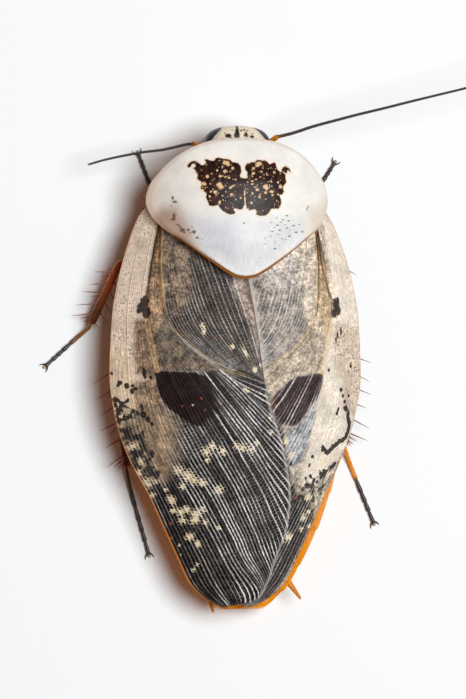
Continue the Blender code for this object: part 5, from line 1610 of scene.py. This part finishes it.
def dye(name, description, *screen):
    """A colour setting that starts from screen values of 0 to 255."""
    return colour_property(name, description, tone(*screen))


class RoachSizes(bpy.types.PropertyGroup):
    """Sizes that change the look of the pieces."""

    wing_thickness: length_property("Wing thickness", "Thickness of a wing cover", 0.00013, 0.0005)
    vein_width: length_property("Vein width", "Width of a pale vein", 0.00008, 0.0003)
    vein_height: length_property("Vein height", "How far a fine vein stands out", 0.00002, 0.0001)
    main_vein_height: length_property("Main vein height", "How far a main vein stands out", 0.00007, 0.00014)


class RoachColours(bpy.types.PropertyGroup):
    """Colours of the shells, the wings and their markings."""

    # The veins' colour, laid on as their own pale tone and partly as painted highlight
    vein: dye("Veins", "Pale veins of the wing covers", 230, 226, 222)
    speckle: dye("Speckle", "Fine dark specks of the wing covers", 62, 52, 48)
    blotch: dye("Blotches", "Black blotches of the wing covers", 18, 15, 16)
    cream_spot: dye("Cream spots", "Cream spots of the wing covers", 236, 216, 182)
    orange_spot: dye("Orange spots", "Orange spots of the wing covers", 186, 98, 46)
    # Its line at the middle edge is painted shadow of the overlapping left cover
    fold_and_edge_shadow: dye("Folds", "Brown lines at the shoulders and the middle edge", 92, 62, 42)
    furrow: dye("Furrow", "Gold lines beside the furrow", 214, 178, 116)
    pale_edge: dye("Pale edge", "Pale band beside the middle edge", 196, 188, 180)
    # Partly the rim's own amber, partly painted glow of light shining through the thin edge
    rim: dye("Rim", "Outer rim of the wing covers", 196, 122, 52)
    shield_rim: dye("Shield rim", "Rear rim of the shield", 150, 92, 34)
    shield_orange: dye("Shield edge", "Front edge of the shield", 220, 170, 130)
    shield_mark: dye("Shield marks", "Small dark marks of the shield", 70, 52, 46)
    shield_halo: dye("Marking halo", "Tan edge round the dark marking", 232, 190, 138)
    shield_speck: dye("Marking specks", "Cream specks in the dark marking", 236, 198, 150)
    marking: dye("Marking", "Dark marking of the shield", 28, 16, 16)
    marking_light: dye("Marking, lighter", "Lighter clouds in the marking", 78, 42, 30)
    amber: dye("Amber shell", "Legs and mouthparts", 178, 92, 36)
    amber_dark: dye("Dark amber", "Joints, spines and seams", 66, 30, 18)
    belly: dye("Abdomen", "Plates of the abdomen", 232, 140, 8)
    belly_dark: dye("Dark abdomen", "Edges of the plates", 120, 52, 14)
    head: dye("Head", "Cream crown of the head", 228, 214, 192)
    head_dark: dye("Dark head", "Spots and mouth of the head", 40, 26, 20)
    whip: dye("Feelers", "Rings of the feelers", 112, 70, 44)
    whip_dark: dye("Dark feelers", "Darkest tone of the feelers", 22, 15, 15)
    whip_pale: dye("Feeler joints", "Pale joints between the rings", 150, 132, 116)
    foot: dye("Feet", "Joints of the feet", 92, 66, 50)
    foot_dark: dye("Dark feet", "Darkest tone of the feet", 34, 25, 22)
    pad: dye("Pads", "Pads under the feet", 170, 150, 120)
    eye: dye("Eyes", "Compound eyes", 14, 15, 22)


class StageSettings(bpy.types.PropertyGroup):
    """Floor, light and camera."""

    floor: colour_property("Floor", "Colour of the floor", (0.9, 0.9, 0.9))
    key_power: bpy.props.FloatProperty(
        name="Key light", description="Power of the large soft light", default=1.02, min=0.0, unit="POWER"
    )
    key_size: length_property("Key size", "Width of the large soft light", 0.165, 2.0)
    fill: bpy.props.FloatProperty(
        name="Fill light", description="Strength of the light all round", default=0.19, min=0.0
    )
    fill_colour: colour_property("Fill colour", "Colour of the light all round", (1.0, 0.5, 0.32))
    lens: bpy.props.FloatProperty(
        name="Lens", description="Focal length in millimetres", default=300.0, min=20.0
    )
    lean: bpy.props.FloatProperty(
        name="Lean", description="How far the camera leans to the animal's left", default=math.radians(11),
        subtype="ANGLE",
    )


# ---- operators


FLOOR_REACH, FLOOR_Z = 0.6, -0.00001
# The key light's colour, its way from the middle of the picture and its distance in metres
KEY_COLOUR, KEY_WAY, KEY_DISTANCE = (0.868, 0.965, 1.0), (0.21, 0.08, 1.0), 0.3
# The middle of the picture, the height that the picture takes in, both in millimetres, and the sensor's size
VIEW_MIDDLE, VIEW_HEIGHT, SENSOR = (-0.15, 1.345, 3.8), 45.836, 36.0


class ROACH_OT_stage(bpy.types.Operator):
    """Lay the pale floor, hang the soft lights and set up the camera"""

    bl_idname = "roach.stage"
    bl_label = "Stage"

    def execute(self, context):
        scene, settings = context.scene, context.scene.roach_stage
        mesh = bpy.data.meshes.new("floor")
        corners = [(FLOOR_REACH * x, FLOOR_REACH * y, 0) for x, y in ((-1, -1), (1, -1), (1, 1), (-1, 1))]
        mesh.from_pydata(corners, [], [(0, 1, 2, 3)])
        floor = bpy.data.objects.new("floor", mesh)
        floor.location.z = FLOOR_Z
        mesh.materials.append(floor_material(settings.floor))
        scene.collection.objects.link(floor)

        world = bpy.data.worlds.new("soft_room")
        world.use_nodes = True
        background = world.node_tree.nodes["Background"]
        background.inputs["Color"].default_value = rgba(settings.fill_colour)
        background.inputs["Strength"].default_value = settings.fill
        scene.world = world

        target = Vector((SHIFT + VIEW_MIDDLE) * MM)
        light = bpy.data.lights.new("key_light", "AREA")
        light.shape = "DISK"
        light.size = settings.key_size
        light.energy = settings.key_power
        light.color = KEY_COLOUR
        key = bpy.data.objects.new("key_light", light)
        key.location = target + Vector(KEY_WAY).normalized() * KEY_DISTANCE
        key.rotation_euler = (key.location - target).to_track_quat("Z", "Y").to_euler()
        scene.collection.objects.link(key)

        camera = bpy.data.cameras.new("camera")
        camera.lens = settings.lens
        camera.sensor_width = SENSOR
        camera.clip_start = 0.01
        distance = VIEW_HEIGHT * settings.lens / SENSOR * MM
        back = Vector((-math.sin(settings.lean), 0.0, math.cos(settings.lean)))
        up = Vector((0.0, 1.0, 0.0))
        turn = Matrix((up.cross(back), up, back)).transposed()
        eye = bpy.data.objects.new("camera", camera)
        eye.matrix_world = Matrix.Translation(target + back * distance) @ turn.to_4x4()
        scene.collection.objects.link(eye)
        scene.camera = eye
        scene.view_settings.view_transform = "Standard"
        return {"FINISHED"}


class ROACH_OT_wing_covers(bpy.types.Operator):
    """Build the two veined wing covers, the left one over the right one"""

    bl_idname = "roach.wing_covers"
    bl_label = "Wing covers"

    def execute(self, context):
        material = wing_material(context.scene.roach_colours, context.scene.roach_sizes)
        for side in (LEFT, RIGHT):
            wing_cover(side, material, context.scene.roach_sizes)
        return {"FINISHED"}


class ROACH_OT_shield(bpy.types.Operator):
    """Build the porcelain shield with its dark marking"""

    bl_idname = "roach.shield"
    bl_label = "Shield"

    def execute(self, context):
        shield(shield_material(context.scene.roach_colours))
        return {"FINISHED"}


class ROACH_OT_trunk(bpy.types.Operator):
    """Build the thorax and abdomen as one skin of overlapping plates, and the ringed tail feelers"""

    bl_idname = "roach.trunk"
    bl_label = "Trunk"

    def execute(self, context):
        colours = context.scene.roach_colours
        material = shell_material("abdomen_plates", colours.belly, colours.belly_dark, 0.3, 0.12, shine=0.2)
        trunk(material)
        tail_feelers(material)
        return {"FINISHED"}


class ROACH_OT_head(bpy.types.Operator):
    """Build the head with its eyes, mouthparts and long ringed feelers"""

    bl_idname = "roach.head"
    bl_label = "Head and feelers"

    def execute(self, context):
        colours = context.scene.roach_colours
        head_capsule(shell_material("head_shell", colours.head, colours.head_dark, 0.3, 0.15))
        eyes(eye_material(colours.eye))
        mouthparts(shell_material("mouth_amber", colours.amber, colours.amber_dark, 0.3, 0.3))
        feeler_bases(shell_material("feeler_amber", colours.belly, colours.amber_dark, 0.3, 0.2, shine=0.3))
        flagella(shell_material("feeler_rings", colours.whip, colours.whip_dark, 0.5, 0.0, colours.whip_pale))
        return {"FINISHED"}


class ROACH_OT_legs(bpy.types.Operator):
    """Build the six spiny legs and their feet"""

    bl_idname = "roach.legs"
    bl_label = "Legs"

    def execute(self, context):
        colours = context.scene.roach_colours
        leg_shell = shell_material("leg_amber", colours.amber, colours.amber_dark, 0.28, 0.35)
        foot_shell = shell_material(
            "foot_brown", colours.foot, colours.foot_dark, 0.38, 0.1, colours.pad, colours.belly
        )
        for name in LEGS:
            leg(name, leg_shell, foot_shell)
        return {"FINISHED"}


class ROACH_PT_panel(bpy.types.Panel):
    """Lists the pieces and their settings"""

    bl_label = "Porcelain Roach"
    bl_idname = "ROACH_PT_panel"
    bl_space_type = "VIEW_3D"
    bl_region_type = "UI"
    bl_category = "Roach"

    def draw(self, context):
        for operator in OPERATORS:
            self.layout.operator(operator.bl_idname)
        for group in (context.scene.roach_sizes, context.scene.roach_colours, context.scene.roach_stage):
            for word in group.__annotations__:
                self.layout.prop(group, word)


OPERATORS = (
    ROACH_OT_stage, ROACH_OT_wing_covers, ROACH_OT_shield, ROACH_OT_trunk, ROACH_OT_head, ROACH_OT_legs,
)
GROUPS = {"roach_sizes": RoachSizes, "roach_colours": RoachColours, "roach_stage": StageSettings}


def register():
    for made in (*GROUPS.values(), *OPERATORS, ROACH_PT_panel):
        bpy.utils.register_class(made)
    for word, group in GROUPS.items():
        setattr(bpy.types.Scene, word, bpy.props.PointerProperty(type=group))


def unregister():
    for word in GROUPS:
        delattr(bpy.types.Scene, word)
    for made in reversed((*GROUPS.values(), *OPERATORS, ROACH_PT_panel)):
        bpy.utils.unregister_class(made)


def main():
    """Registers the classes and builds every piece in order."""
    register()
    make_effects()
    bpy.ops.roach.stage()
    bpy.ops.roach.wing_covers()
    bpy.ops.roach.shield()
    bpy.ops.roach.trunk()
    bpy.ops.roach.head()
    bpy.ops.roach.legs()
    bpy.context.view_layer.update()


if __name__ == "__main__":
    main()
